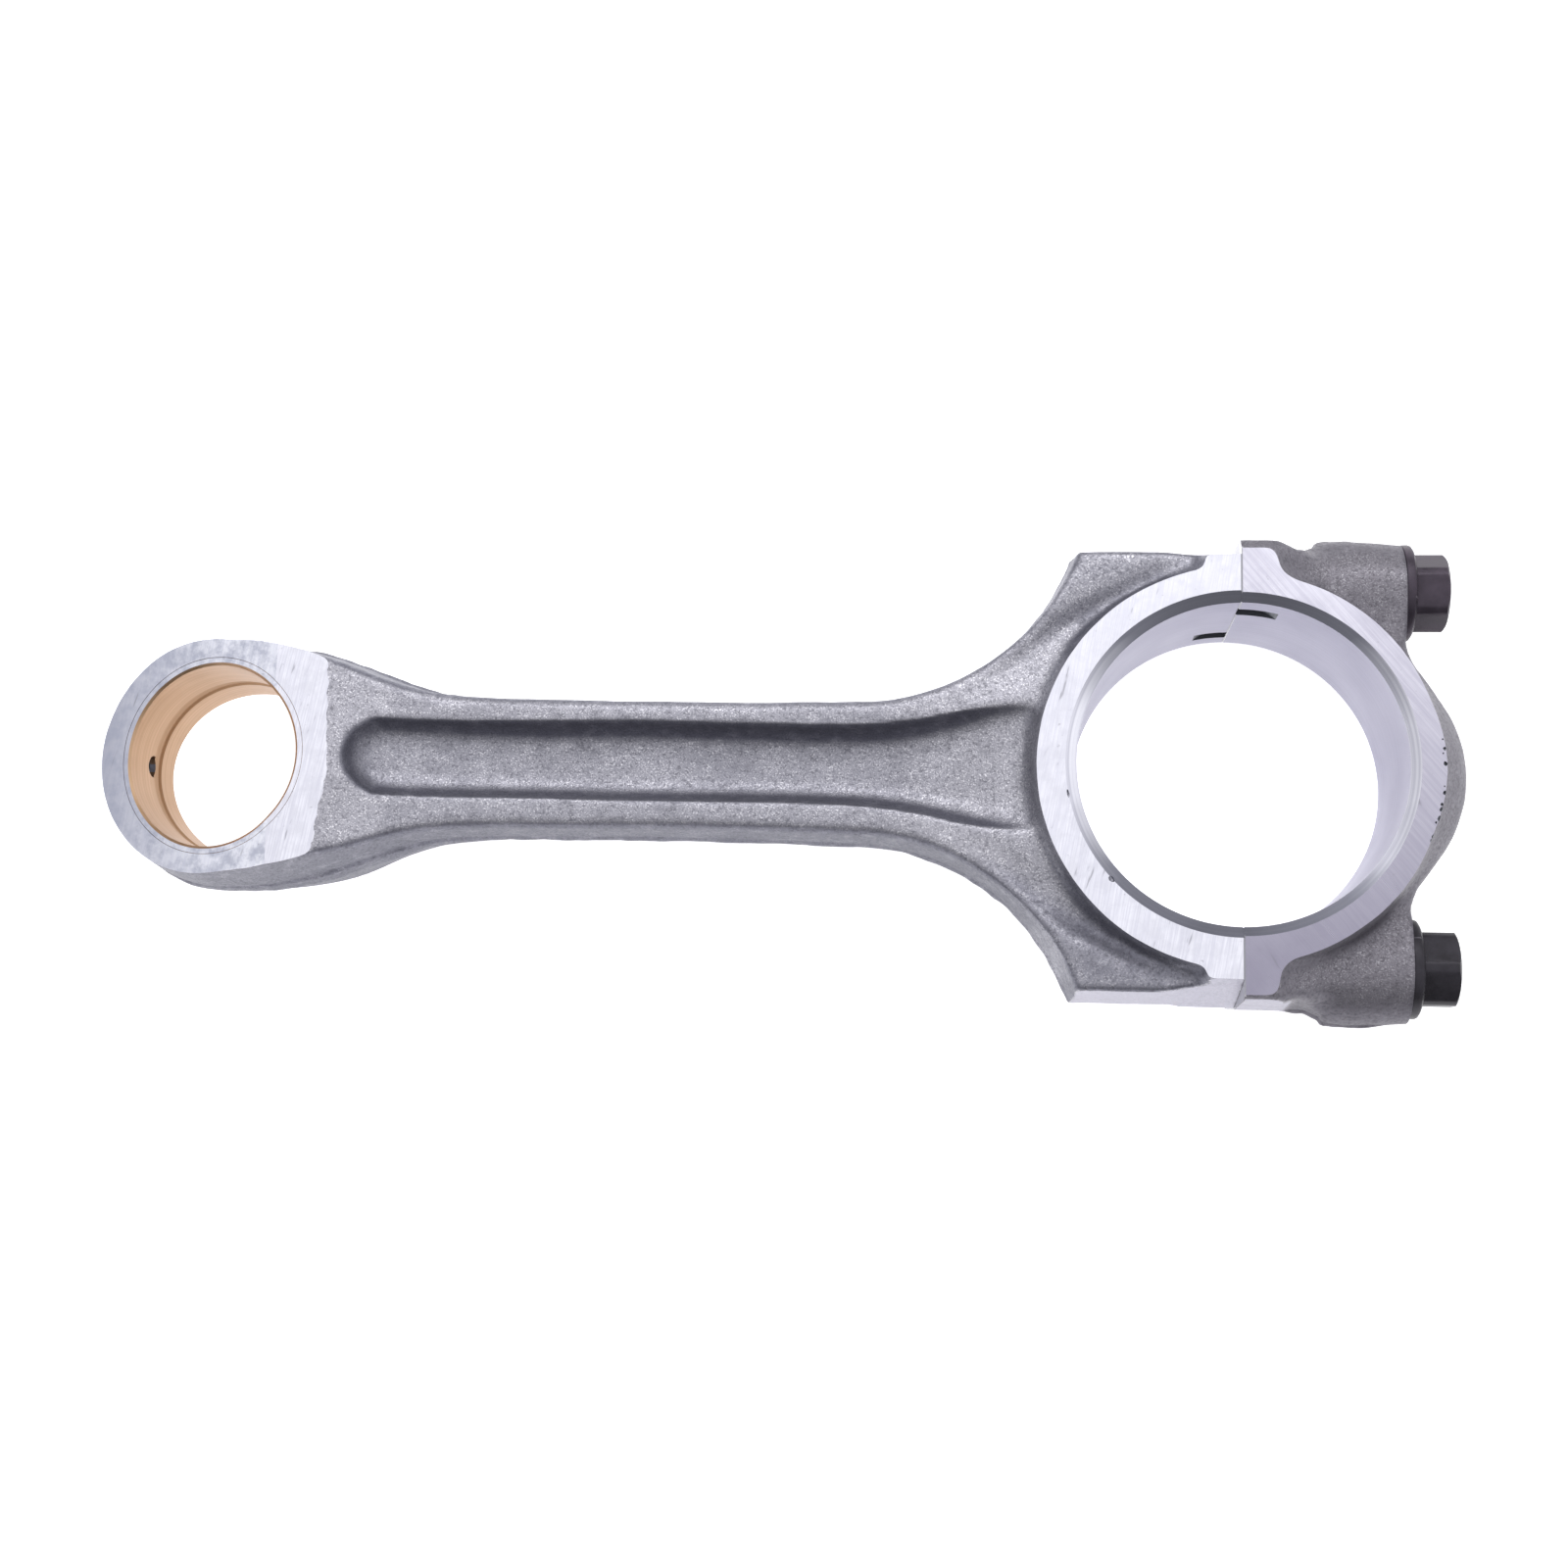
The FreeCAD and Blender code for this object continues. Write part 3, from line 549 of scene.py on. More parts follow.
def turned(name, base_col, line_col, rough, lines=2600.0, metallic=1.0, axis="z", depth=0.25, spots=None, reflection_shade=None):
    """Bored or turned metal: fine rings round the part's own axis."""
    m, nt, b = material(name)
    scale = (6.0, 6.0, lines) if axis == "z" else (lines, 6.0, 6.0)
    s1 = noise(nt, coords(nt, scale), 1.0, 2.0, 0.6)
    v = coords(nt)
    patch = noise(nt, v, 45.0, 3.0, 0.5)
    base = mix(nt, remap(nt, s1, 0.36, 0.64, 0.0, 1.0), line_col, base_col)
    base = mix(nt, remap(nt, patch, 0.35, 0.7, 0.0, 0.35), base, line_col)
    # painted reflection: darker where the surface lies far off the X axis
    if reflection_shade is not None:  # ((near, far) distance off the X axis, colour, amount)
        off = math_node(nt, "ABSOLUTE", axis_value(nt, "Y"), 0.0)
        broad = noise(nt, coords(nt, (60.0, 60.0, 200.0)), 1.0, 2.0, 0.5)
        off = math_node(nt, "ADD", off, math_node(nt, "MULTIPLY", math_node(nt, "SUBTRACT", broad, 0.5), 0.016))
        base = mix(nt, remap(nt, off, reflection_shade[0][0], reflection_shade[0][1], 0.0, reflection_shade[2]), base, reflection_shade[1])
    if spots is not None:
        specks = noise(nt, v, 700.0, 3.0, 0.6)
        base = mix(nt, remap(nt, specks, 0.66, 0.74, 0.0, 0.6), base, spots)
    nt.links.new(base, b.inputs["Base Color"])
    b.inputs["Metallic"].default_value = metallic
    nt.links.new(remap(nt, patch, 0.3, 0.7, rough - 0.05, rough + 0.08), b.inputs["Roughness"])
    nt.links.new(bump(nt, s1, depth, 0.00002), b.inputs["Normal"])
    return m


M_FORGED = forged("forged_steel", (0.168, 0.168, 0.204), (0.385, 0.38, 0.425), spark=0.85)
M_FORGED_CAP = forged("forged_steel_cap", (0.135, 0.128, 0.150), (0.195, 0.185, 0.210), spark=0.26)
M_FACE = machined("milled_face", (0.84, 0.84, 0.91), (0.68, 0.68, 0.76), -80, 0.34, fine=2600.0, along=90.0,
                 blot=(0.62, 0.62, 0.69), blot_amount=0.45, blot_scale=330.0)
# painted reflection shade: the wedge darkens towards low X
M_WEDGE = machined("milled_wedge", (0.92, 0.93, 1.0), (0.82, 0.83, 0.92), -80, 0.36, fine=1900.0, along=60.0, depth=0.2,
                   blot=(0.42, 0.44, 0.54), blot_amount=0.75, blot_scale=300.0,
                   shade=(-0.250, -0.216, (0.35, 0.36, 0.45), 0.85, "X"))
# painted shade: the cap face darkens towards -Y
M_CAP_FACE = machined("milled_cap_face", (0.82, 0.81, 0.90), (0.62, 0.61, 0.70), 50, 0.33, fine=1500.0, along=40.0,
                      depth=0.35, blot=(0.40, 0.385, 0.47), blot_amount=0.35, shade=(-0.042, 0.046, (0.27, 0.255, 0.33), 0.95, "Y"))
M_BORE = turned("bored_steel", (0.44, 0.43, 0.53), (0.38, 0.37, 0.46), 0.38)
# painted reflection on the bore chamfers, darker where |y| is large
M_CHAMFER = turned("chamfer_steel", (0.86, 0.86, 0.93), (0.62, 0.62, 0.70), 0.30, lines=3400.0, depth=0.3,
                   reflection_shade=((0.008, 0.026), (0.19, 0.193, 0.235), 0.92))
M_JOINT = machined("ground_joint", (0.60, 0.60, 0.63), (0.48, 0.48, 0.51), 90, 0.30, fine=1900.0, depth=0.2)
M_HOLE = turned("drilled_steel", (0.34, 0.34, 0.36), (0.22, 0.22, 0.235), 0.42, lines=1500.0, axis="x", depth=0.4)
M_BRONZE = turned("bronze", (0.60, 0.41, 0.275), (0.49, 0.325, 0.20), 0.38, lines=1800.0)
# painted shade in the bush's oil groove: a darker bronze
M_BRONZE_DARK = turned("bronze_groove", (0.53, 0.355, 0.225), (0.45, 0.295, 0.18), 0.5, lines=1800.0)
M_TANG = machined("slot_steel", (0.16, 0.17, 0.19), (0.10, 0.105, 0.12), 0, 0.45)


def phosphate(name, base, light, wear):
    m, nt, b = material(name)
    v = coords(nt)
    patch = noise(nt, v, 160.0, 4.0, 0.6)
    fine = noise(nt, v, 3000.0, 2.0, 0.6)
    rub = noise(nt, coords(nt, (60.0, 420.0, 420.0)), 1.0, 3.0, 0.65)
    col = mix(nt, remap(nt, patch, 0.35, 0.7, 0.0, 1.0), base, light)
    col = mix(nt, remap(nt, rub, 0.66, 0.74, 0.0, 0.75), col, wear)
    nt.links.new(col, b.inputs["Base Color"])
    b.inputs["Metallic"].default_value = 0.55
    nt.links.new(remap(nt, patch, 0.3, 0.7, 0.36, 0.52), b.inputs["Roughness"])
    nt.links.new(bump(nt, math_node(nt, "ADD", fine, math_node(nt, "MULTIPLY", patch, 0.6)), 0.35, 0.00007), b.inputs["Normal"])
    return m


M_BOLT = phosphate("black_steel", (0.034, 0.026, 0.038), (0.068, 0.053, 0.074), (0.42, 0.37, 0.43))
M_BOLT_B = phosphate("black_steel_dark", (0.017, 0.015, 0.020), (0.036, 0.033, 0.043), (0.24, 0.22, 0.26))


# ------------------------------------------------------------------ rod
def noisy(x, y, z, seed):
    n = 0.10 * lattice(x, y, z, 13.0, seed) + 0.05 * lattice(x, y, z, 4.7, seed + 1)
    if VOXEL < 0.7:
        n = n + 0.028 * lattice(x, y, z, 1.7, seed + 2)
    return n


def off_centre(x):
    """How far the forging sits off the bores' line, in y."""
    return np.interp(x, [-247, -205, -186, -165, -120, -60, -10, 60], [0.05, 0.0, -0.05, 0.0, -0.05, -0.55, -0.6, -0.6]).astype(np.float32)


def path_side(path, x, y):
    """Distance to an open path, positive on its left."""
    best = np.full(x.shape, 1e9, np.float32)
    side = np.zeros(x.shape, np.float32)
    for (ax_, ay_), (bx_, by_) in zip(path[:-1], path[1:]):
        ex, ey = bx_ - ax_, by_ - ay_
        px, py = x - ax_, y - ay_
        u = np.clip((px * ex + py * ey) / (ex * ex + ey * ey), 0, 1)
        d = np.hypot(px - u * ex, py - u * ey)
        near = d < best
        best = np.where(near, d, best)
        side = np.where(near, np.sign(ex * py - ey * px), side)
    return best * side


def rod_field():
    ax = axes_of((-249.5, -51.5, -23.5), (5.0, 51.5, 23.5))
    x2, y2 = np.meshgrid(ax[0], ax[1], indexing="ij")
    y2 = y2 - off_centre(x2)
    neck = [(-202.4, 26.1), (-198, 25.05), (-193.5, 23.7), (-189, 22.15), (-184.8, 20.5), (-180.5, 18.9), (-174, 17.0),
            (-168, 16.05), (-163, 15.65), (-156, 15.35), (-140, 15.2), (-117, 14.95), (-96, 15.15), (-84, 15.45)]
    upper = arc(EYE_X - 0.55, 0, 27.75, 180, 86, 44) + curve_through([(-208.5, 27.15)] + neck, 5)
    upper += arc(-80, 63.6, 48.1, 272, 341.0, 36)[1:]
    upper += [(-34.2, 48.05), (8.0, 48.2)]
    d2 = outline_distance(both(upper), x2, y2)
    ay = np.abs(y2)

    # top surface of the forging away from the machined bosses
    tx = np.array([-260, -199, -195.3, -193.3, -190, -186, -181, -175, -169, -163, -150, -118, -84, -72, -60, -48, -38, 10])
    tz = np.array([22.4, 22.4, 21.3, 20.25, 18.6, 16.9, 15.2, 13.7, 12.75, 12.3, 12.1, 12.0, 12.1, 12.5, 13.4, 14.5, 15.0, 15.2])
    fx = np.linspace(-260, 10, 2701)
    fz = np.interp(fx, tx, tz)
    kernel = np.hanning(41)
    fz = np.convolve(np.pad(fz, 20, mode="edge"), kernel / kernel.sum(), "valid")
    # the milled land ends on a wavy border
    border = np.interp(ax[1], [-30, -21.3, -16, -12.9, -9.8, -6.6, -4.5, 0.8, 6.1, 12.1, 16.8, 21.5, 30],
                       [-194.9, -194.4, -194.05, -193.8, -193.1, -192.4, -192.0, -192.3, -192.6, -192.8, -192.9, -193.3, -194.0])
    nick = 0.20 * np.sin(ax[1] * 1.35) + 0.14 * np.sin(ax[1] * 3.7 + 1.0) + 0.08 * np.sin(ax[1] * 7.9)
    shift = (border + 193.3).astype(np.float32)[None, :] * (1 - ramp(x2, -188, -174)) + nick.astype(np.float32)[None, :] * (1 - ramp(x2, -192.6, -190.5))
    top = np.interp((x2 - shift).ravel(), fx, fz).reshape(x2.shape).astype(np.float32)
    # shallow valley between the big-end boss and the outer flange
    line = curve_through([(-74, 12.6), (-65, 14.4), (-56, 17.5), (-47.5, 21.6), (-41.5, 26.2), (-34, 31.0), (-26, 34.9), (-16, 38.6)], 8)
    s = path_side(line, x2, ay)
    valley = np.where(s < 0, np.exp(-(s / 4.2) ** 2), np.exp(-(s / 2.9) ** 2))
    depth = 1.65 * ramp(x2, -64, -42) * (1 - 0.6 * ramp(x2, -24, -10))
    top = top - depth * valley + 0.3 * ramp(s, 1.5, 7.0) * ramp(x2, -60, -44)

    nose = [(-180.5 + 7.7 * math.cos(math.radians(a)), 7.7 * math.sin(math.radians(a))) for a in (180, 160, 140, 120, 102)]
    recess = curve_through(nose + [(-172, 7.9), (-160, 8.1), (-140, 8.3), (-115, 8.4), (-92, 8.2), (-78, 8.5), (-66, 9.7),
                                   (-56, 11.8), (-47, 13.6), (-40, 14.4), (-30, 14.8)], 5)
    yr = y2 - np.interp(ax[0], [-190, -165, -95, -55], [0.45, 0.55, 0.5, 0.1]).astype(np.float32)[:, None]
    r2 = outline_distance(both(recess), x2, yr)
    floor = np.interp(ax[0], [-190, -184, -176, -166, -150, -92, -73, -60, -50, -42, 10],
                      [12.2, 10.9, 8.7, 6.7, 4.9, 4.2, 4.9, 7.4, 10.3, 12.3, 12.6]).astype(np.float32)[:, None]
    floor = floor + 0.016 * np.maximum(np.abs(yr) - 4, 0) ** 2 + 0.22 * np.sin(ax[0] * 0.13)[:, None] * ramp(x2, -190, -170)

    x, y, z = (c.astype(np.float32) for c in np.meshgrid(*ax, indexing="ij"))
    yf = y - off_centre(ax[0])[:, None, None]
    az = np.abs(z)
    side = (d2[:, :, None] + az * DRAFT) * DRAFT_C
    # trimmed flash at the parting line: a narrow land with a dark root line above it
    part = np.interp(ax[0], [-250, -215, -203, -192, -183, -176, -167, -156, 10],
                     [1.6, 3.4, 4.6, 4.6, 4.4, 3.4, 2.6, 1.7, 1.6]).astype(np.float32)[:, None, None]
    part = np.where(yf < 0, part, 1.5)
    ragged = 0.16 * lattice(x, y, z * 0.3, 2.4, 301) + 0.12 * lattice(x, y, z * 0.3, 6.5, 302)
    keep = 1 - ramp(x, -38, -30)
    flash = np.interp(ax[0], [-250, -212, -200, -180, -165, -120, -60, 10], [0.12, 0.15, 0.45, 0.5, 0.3, 0.25, 0.25, 0.2])
    flash = flash.astype(np.float32)[:, None, None]
    land = 1 - ramp(az, part - 0.5, part + 0.15)
    root = np.exp(-((az - part) / 0.42) ** 2)
    side = side - keep * (land * (flash + ragged) - root * 0.26)
    cap = (az - top[:, :, None]) * 0.97
    soft = np.interp(ax[0], [-196, -188, -176, -80, -50, -34], [1.2, 1.8, 2.6, 2.6, 2.2, 1.6]).astype(np.float32)[:, None, None]
    body = smax(side, cap, soft)
    wall = math.tan(math.radians(9))
    hollow = smax((r2[:, :, None] - (az - 12.0) * wall) * 0.985, floor[:, :, None] - az, 5.0)
    body = smax(body, -hollow, 0.9)
    rr = np.hypot(x, yf)
    boss = smax((rr - (41.8 + (HALF - az) * math.tan(math.radians(9.5)))) * 0.985, az - 22.3, 0.6)
    body = smin(body, boss, 3.2)
    lift = np.maximum(HALF - az, -1)
    ay3 = np.abs(yf)
    slope = np.where(yf > 0, 0.198, 0.228).astype(np.float32)
    wide = ay3 - 48.3 + az * slope
    ear = smax(-(x + 7.4 + lift * 0.22), wide, 1.6)
    ear = np.maximum(smax(ear, az - 22.3, 0.6), rr - 53)
    body = smin(body, ear, 2.2)
    near = ramp(x, -20, -8)
    body = smax(body, ay3 - 48.4 + az * (0.12 * (1 - near) + slope * near), 0.5)
    body = np.maximum(body, x - 3.0)
    # forging skin: large and small waviness
    body = body + noisy(x, y, z, 11)
    return body.astype(np.float32), ax


def face_cutters(tag, x0=-262.0, x1=70.0):
    low = HALF - (WEDGE_X - x0) * WEDGE_SLOPE
    out = []
    for s in (1, -1):
        out.append(prism("face_%s_%d" % (tag, s), [(x0, s * low), (WEDGE_X, s * HALF), (x1, s * HALF), (x1, s * 32), (x0, s * 32)],
                         "y", -70, 70))
    return out


def bore_cutter(tag, r, z):
    return lathe("bore_" + tag, [(0, -30), (r + 0.02, -30), (r + 0.02, -HALF - 0.02), (BORE_R, z - HALF), (BORE_R, HALF - z),
                                 (r + 0.02, HALF + 0.02), (r + 0.02, 30), (0, 30)], (0, 0, 0), "z")


def joint_bevels(tag, side, size=0.22):
    """Eased edges along the joint plane, on both faces and both bore walls."""
    out = []
    for s in (1, -1):
        tri = [(-side * 0.5, s * (HALF + 0.5)), (side * size, s * (HALF + 0.5)), (side * size, s * (HALF + 0.02)), (-side * 0.02, s * (HALF - size)), (-side * 0.5, s * (HALF - size))]
        out.append(prism("bevel_%s_z%d" % (tag, s), tri, "y", -70, 70))
        tri = [(-side * 0.5, s * (BORE_R - 0.5)), (side * size, s * (BORE_R - 0.5)), (side * size, s * (BORE_R - 0.02)), (-side * 0.02, s * (BORE_R + size)), (-side * 0.5, s * (BORE_R + size))]
        out.append(prism("bevel_%s_y%d" % (tag, s), tri, "z", -30, 30))
    return out


def pit(tag, x, y, z, r, stretch=1.0, turn=0.0):
    """A small ragged lump, for chips and torn spots at the edge of a cut face."""
    bm = bmesh.new()
    bmesh.ops.create_icosphere(bm, subdivisions=2, radius=r)
    for v in bm.verts:
        v.co *= 1 + RNG.uniform(-0.22, 0.22)
        v.co.x *= stretch
    me = bpy.data.meshes.new("pit_" + tag)
    bm.to_mesh(me)
    bm.free()
    me.transform(Matrix.Translation((x, y, z)) @ Matrix.Rotation(turn, 4, "Z"))
    ob = bpy.data.objects.new("pit_" + tag, me)
    bpy.context.collection.objects.link(ob)
    return fix_normals(ob)


def tang_cutter(tag, cy, r, low):
    return lathe("tang_" + tag, [(0, low), (r, low), (r, low + 5.0), (0, low + 5.0)], (0, cy, 0), "z", 96)


field, ax = rod_field()
verts, quads = surface(field, ax)
rod = fix_normals(new_mesh_object("rod_forging", verts, quads))
print("rod forging faces", len(rod.data.polygons))
del field
cutters = face_cutters("rod")
cutters.append(bore_cutter("rod", BORE_CHAM_R, BORE_CHAM_Z))
cutters.append(lathe("eye", [(0, -30), (BUSH_OUT + 0.03, -30), (BUSH_OUT + 0.03, 30), (0, 30)], (EYE_X, 0, 0), "z"))
cutters.append(prism("joint_rod", [(-60, -30), (60, -30), (60, 30), (-60, 30)], "x", 0.0, 20.0))
cutters.append(lathe("oil", [(0, -260), (3.1, -260), (3.1, -246.6), (2.4, -245.6), (2.4, -222), (0, -222)], (0, 0, 0), "x", 48))
cutters.append(tang_cutter("rod", 23.2, 12.0, -13.7))
for y in (BOLT_Y, -BOLT_Y):
    cutters.append(lathe("fit_%d" % y, [(0, -31.8), (MINOR + 0.04, -29.4), (MINOR + 0.04, -12.0), (5.25, -10.0), (5.25, -0.5), (5.75, 0.0),
                                        (5.75, 3.0), (0, 3.0)], (0, y, 0), "x", 64))
    cutters.append(helix("tap_%d" % y, y, -29.0, -10.6, MINOR - 0.1, MAJOR + 0.06, 0.60, 0.21))
cutters += joint_bevels("rod", -1)
NICKS = [(-26.5, -24.35, 0.50, 1.5), (-35.3, -6.9, 0.30, 3.2)]
for i, (nx, ny, nr, ns) in enumerate(NICKS):
    cutters.append(pit("rod_%d" % i, nx, ny, HALF - 0.1, nr, ns, math.atan2(ny, nx) + math.pi / 2))
rod = combine(rod, cutters)
print("rod faces", len(rod.data.polygons))


def rod_classes(c, n):
    out = np.zeros(len(c), int)
    rr = np.hypot(c[:, 0], c[:, 1])
    er = np.hypot(c[:, 0] - EYE_X, c[:, 1])
    br = np.hypot(np.abs(c[:, 1]) - BOLT_Y, c[:, 2])
    az = np.abs(c[:, 2])
    out[(rr < BORE_CHAM_R + 0.03) & (az > HALF - BORE_CHAM_Z)] = 4
    out[(rr < BORE_R + 0.03) & (az <= HALF - BORE_CHAM_Z)] = 3
    out[(er < BUSH_OUT + 0.2)] = 3
    out[(c[:, 0] > -0.23) & (out == 0) & ((az > HALF - 0.3) | (rr < BORE_R + 0.3))] = 5
    out[(c[:, 0] > -0.004)] = 5
    out[(br < 6.0) & (c[:, 0] < -0.004) & (c[:, 0] > -33) & (np.abs(c[:, 1]) > 33.7) & (az < 5.9)] = 6
    out[(c[:, 0] < -222) & (np.hypot(c[:, 1], c[:, 2]) < 3.15) & (er > 22)] = 6
    out[(np.hypot(c[:, 0], c[:, 1] - 23.2) < 12.02) & (c[:, 2] < -8.69) & (c[:, 2] > -13.71) & (rr > BORE_R + 0.02) & (c[:, 1] > 20)] = 7
    out[(np.abs(az - HALF) < 0.004) & (np.abs(n[:, 2]) > 0.999)] = 1
    wedge = HALF - (WEDGE_X - c[:, 0]) * WEDGE_SLOPE
    out[(np.abs(az - wedge) < 0.006) & (c[:, 0] < WEDGE_X) & (np.abs(n[:, 2]) > 0.96)] = 2
    return out


tidy(rod, rod_classes, [M_FORGED, M_FACE, M_WEDGE, M_BORE, M_CHAMFER, M_JOINT, M_HOLE, M_TANG], tone=True)
rod.name = rod.data.name = "rod_forged"
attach(rod, "rod")
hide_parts("rod")


# ------------------------------------------------------------------ cap
def cap_field():
    ax = axes_of((-4.0, -55.0, -23.5), (51.0, 55.0, 23.5))
    x2, y2 = np.meshgrid(ax[0], ax[1], indexing="ij")
    y2 = y2 + 0.45
    plan = both([(-8, 49.2), (9.0, 49.2), (14.0, 48.8), (17.0, 47.4), (22, 45), (40, 44), (40, 30.5), (35.6, 28.2), (35.7, 25.8), (36.2, 24.0), (37.0, 22.2), (38.3, 20.5), (42.0, 15.5), (44.0, 12), (46.0, 5.0), (46.5, 0.0)])
    d2 = outline_distance(plan, x2, y2)
    top = 17.4 - 7.4 * ramp(x2, 5, 25)
    x, y, z = (c.astype(np.float32) for c in np.meshgrid(*ax, indexing="ij"))
    yf = y + 0.45
    ay3 = np.abs(yf)
    az = np.abs(z)
    rr = np.hypot(x + 0.6, y + 0.65)
    base = smax((d2[:, :, None] + az * DRAFT) * DRAFT_C, (az - top[:, :, None]) * 0.95, 4.0)
    br = np.interp(x, [6, 12.5, 20.4, 24.0, 29.5, 35.1, 42], [8.6, 9.6, 11.6, 11.65, 11.3, 10.8, 10.4])
    post = np.maximum((np.hypot(np.abs(y + 0.55) - BOLT_Y, z) - br) * 0.95, 4.0 - x)
    body = smin(base, post, 3.0)
    back = np.hypot(x - 20.0, y + 0.7) - (27.5 - 8.0 * (np.minimum(az, 22.0) / HALF) ** 2.4)
    back = smax(back, az - 22.3, 0.6)
    back = np.maximum(back, 18.0 - x)
    body = smin(body, back, 2.5)
    curl = np.interp(ay3, [16, 20.5, 22.2, 24.0, 25.8, 27.8, 30], [41.0, 38.2, 36.9, 36.0, 35.45, 35.1, 34.9])
    fillet = np.maximum(np.maximum(smax(x - curl, az - 9.8, 3.0), ay3 - 34.0), np.maximum(17.5 - ay3, 24.0 - x))
    body = smin(body, fillet, 1.2)
    boss = smax((rr - (40.5 + (HALF - az) * math.tan(math.radians(9.5)))) * 0.985, az - 22.3, 0.6)
    body = smin(body, boss, 3.2)
    lift = np.maximum(HALF - az, -1)
    tall = np.where(yf > 0, 44.9, 46.4)
    wide = smax(ay3 - np.where(yf > 0, 48.8, 49.2) + az * 0.06, (ay3 - (tall + lift * 0.7)) * 0.8, 1.5)
    ear = smax((x - np.where(yf > 0, 7.0, 6.4) - lift * 0.5), wide, 2.6)
    ear = smax(ear, az - 22.3, 0.6)
    body = smin(body, ear, 5.0)
    body = smax(body, (ay3 - np.interp(ax[0], [0, 9, 14, 17, 20, 60], [49.0, 49.0, 49.1, 50.4, 56, 60]).astype(np.float32)[:, None, None] + az * np.interp(ax[0], [8, 12, 18], [0.06, 0.16, 0.12]).astype(np.float32)[:, None, None]), 0.8)
    ragged = 0.14 * lattice(x, y, z * 0.3, 2.4, 311) + 0.1 * lattice(x, y, z * 0.3, 6.5, 312)
    keep = ramp(x, 8.5, 13) * (1 - ramp(x, 26, 32)) * ramp(ay3, 40, 44)
    body = body - keep * ((1 - ramp(az, 0.9, 1.6)) * (0.30 + ragged) - 0.2 * np.exp(-((az - 1.7) / 0.42) ** 2))
    body = np.maximum(body, -(x + 2.5))
    body = body + 1.1 * noisy(x, y, z, 57)
    return body.astype(np.float32), ax


VOXEL = 0.5
field, ax = cap_field()
verts, quads = surface(field, ax)
cap = fix_normals(new_mesh_object("cap_forging", verts, quads))
print("cap forging faces", len(cap.data.polygons))
del field
cutters = []
for s in (1, -1):
    cutters.append(prism("cap_face_%d" % s, [(-20, -70), (70, -70), (70, 70), (-20, 70)], "z", *sorted((s * HALF, s * 32.0))))
cutters.append(bore_cutter("cap", CAP_CHAM_R, CAP_CHAM_Z))
cutters.append(prism("joint_cap", [(-70, -30), (70, -30), (70, 30), (-70, 30)], "x", -20.0, 0.0))
cutters.append(tang_cutter("cap", 20.8, 14.4, 7.9))
cutters += joint_bevels("cap", 1)
for s in (1, -1):
    seat = [(SEAT_X, s * 70), (60, s * 70), (60, s * (SEAT_IN - 0.9)), (SEAT_X + 0.8, s * (SEAT_IN - 0.9)), (SEAT_X + 0.25, s * (SEAT_IN - 0.5)),
            (SEAT_X, s * (SEAT_IN + 0.1))]
    cutters.append(prism("seat_%d" % s, seat, "z", -30, 30))
    cutters.append(lathe("clear_%d" % s, [(0, -3), (5.75, -3), (5.75, 0.0), (5.25, 0.5), (5.25, SEAT_X - 0.6), (5.8, SEAT_X), (5.8, 50), (0, 50)],
                         (0, s * BOLT_Y, 0), "x", 64))
PITS = []
for deg, pr, inset in ((8.0, 0.22, 0.05), (5.2, 0.34, -0.05), (3.9, 0.20, 0.30), (0.9, 0.38, 0.0), (-5.6, 0.20, 0.10), (-7.4, 0.36, -0.05), (-10.9, 0.30, 0.15),
                       (-12.3, 0.44, 0.0), (-15.1, 0.50, -0.05), (-16.4, 0.24, 0.45), (-20.4, 0.52, 0.0), (-21.8, 0.30, 0.20)):
    a = math.radians(deg)
    PITS.append((-0.6 + (40.72 - inset) * math.cos(a), -0.65 + (40.72 - inset) * math.sin(a), pr))
for i, (px, py, pr) in enumerate(PITS):
    cutters.append(pit("cap_%d" % i, px, py, HALF - 0.12, pr, 1.35, math.atan2(py, px) + math.pi / 2))
cap = combine(cap, cutters)
print("cap faces", len(cap.data.polygons))


def cap_classes(c, n):
    out = np.zeros(len(c), int)
    rr = np.hypot(c[:, 0], c[:, 1])
    br = np.hypot(np.abs(c[:, 1]) - BOLT_Y, c[:, 2])
    az = np.abs(c[:, 2])
    out[(rr < CAP_CHAM_R + 0.03) & (az > HALF - CAP_CHAM_Z)] = 3
    out[(rr < BORE_R + 0.03) & (az <= HALF - CAP_CHAM_Z)] = 2
    out[(c[:, 0] < 0.23) & (out == 0) & ((az > HALF - 0.3) | (rr < BORE_R + 0.3))] = 4
    out[(c[:, 0] < 0.004)] = 4
    out[(c[:, 0] > SEAT_X - 0.004) & (np.abs(n[:, 0]) > 0.5) & (np.abs(c[:, 1]) > SEAT_IN - 1.0) & (np.abs(c[:, 0] - SEAT_X) < 0.85)
        & (np.abs(n[:, 2]) < 0.05)] = 4
    out[(br < 5.82) & (c[:, 0] > 0.004)] = 5
    out[(np.hypot(c[:, 0], c[:, 1] - 20.8) < 14.42) & (c[:, 2] > 7.89) & (c[:, 2] < 12.91) & (rr > BORE_R + 0.02) & (c[:, 1] > 20)] = 6
    for px, py, pr in PITS:
        out[(np.hypot(c[:, 0] - px, c[:, 1] - py) < pr * 1.7) & (np.abs(c[:, 2] - HALF) < 0.9) & (out == 0)
            & (np.hypot((c[:, 0] - px), (c[:, 1] - py)) + np.abs(c[:, 2] - HALF) * 0.3 < pr * 1.25)] = 6
    out[(np.abs(az - HALF) < 0.004) & (np.abs(n[:, 2]) > 0.999)] = 1
    return out


tidy(cap, cap_classes, [M_FORGED_CAP, M_CAP_FACE, M_BORE, M_CHAMFER, M_JOINT, M_HOLE, M_TANG], tone=False)
cap.name = cap.data.name = "cap_forged"
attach(cap, "cap")
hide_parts("bearing_cap")


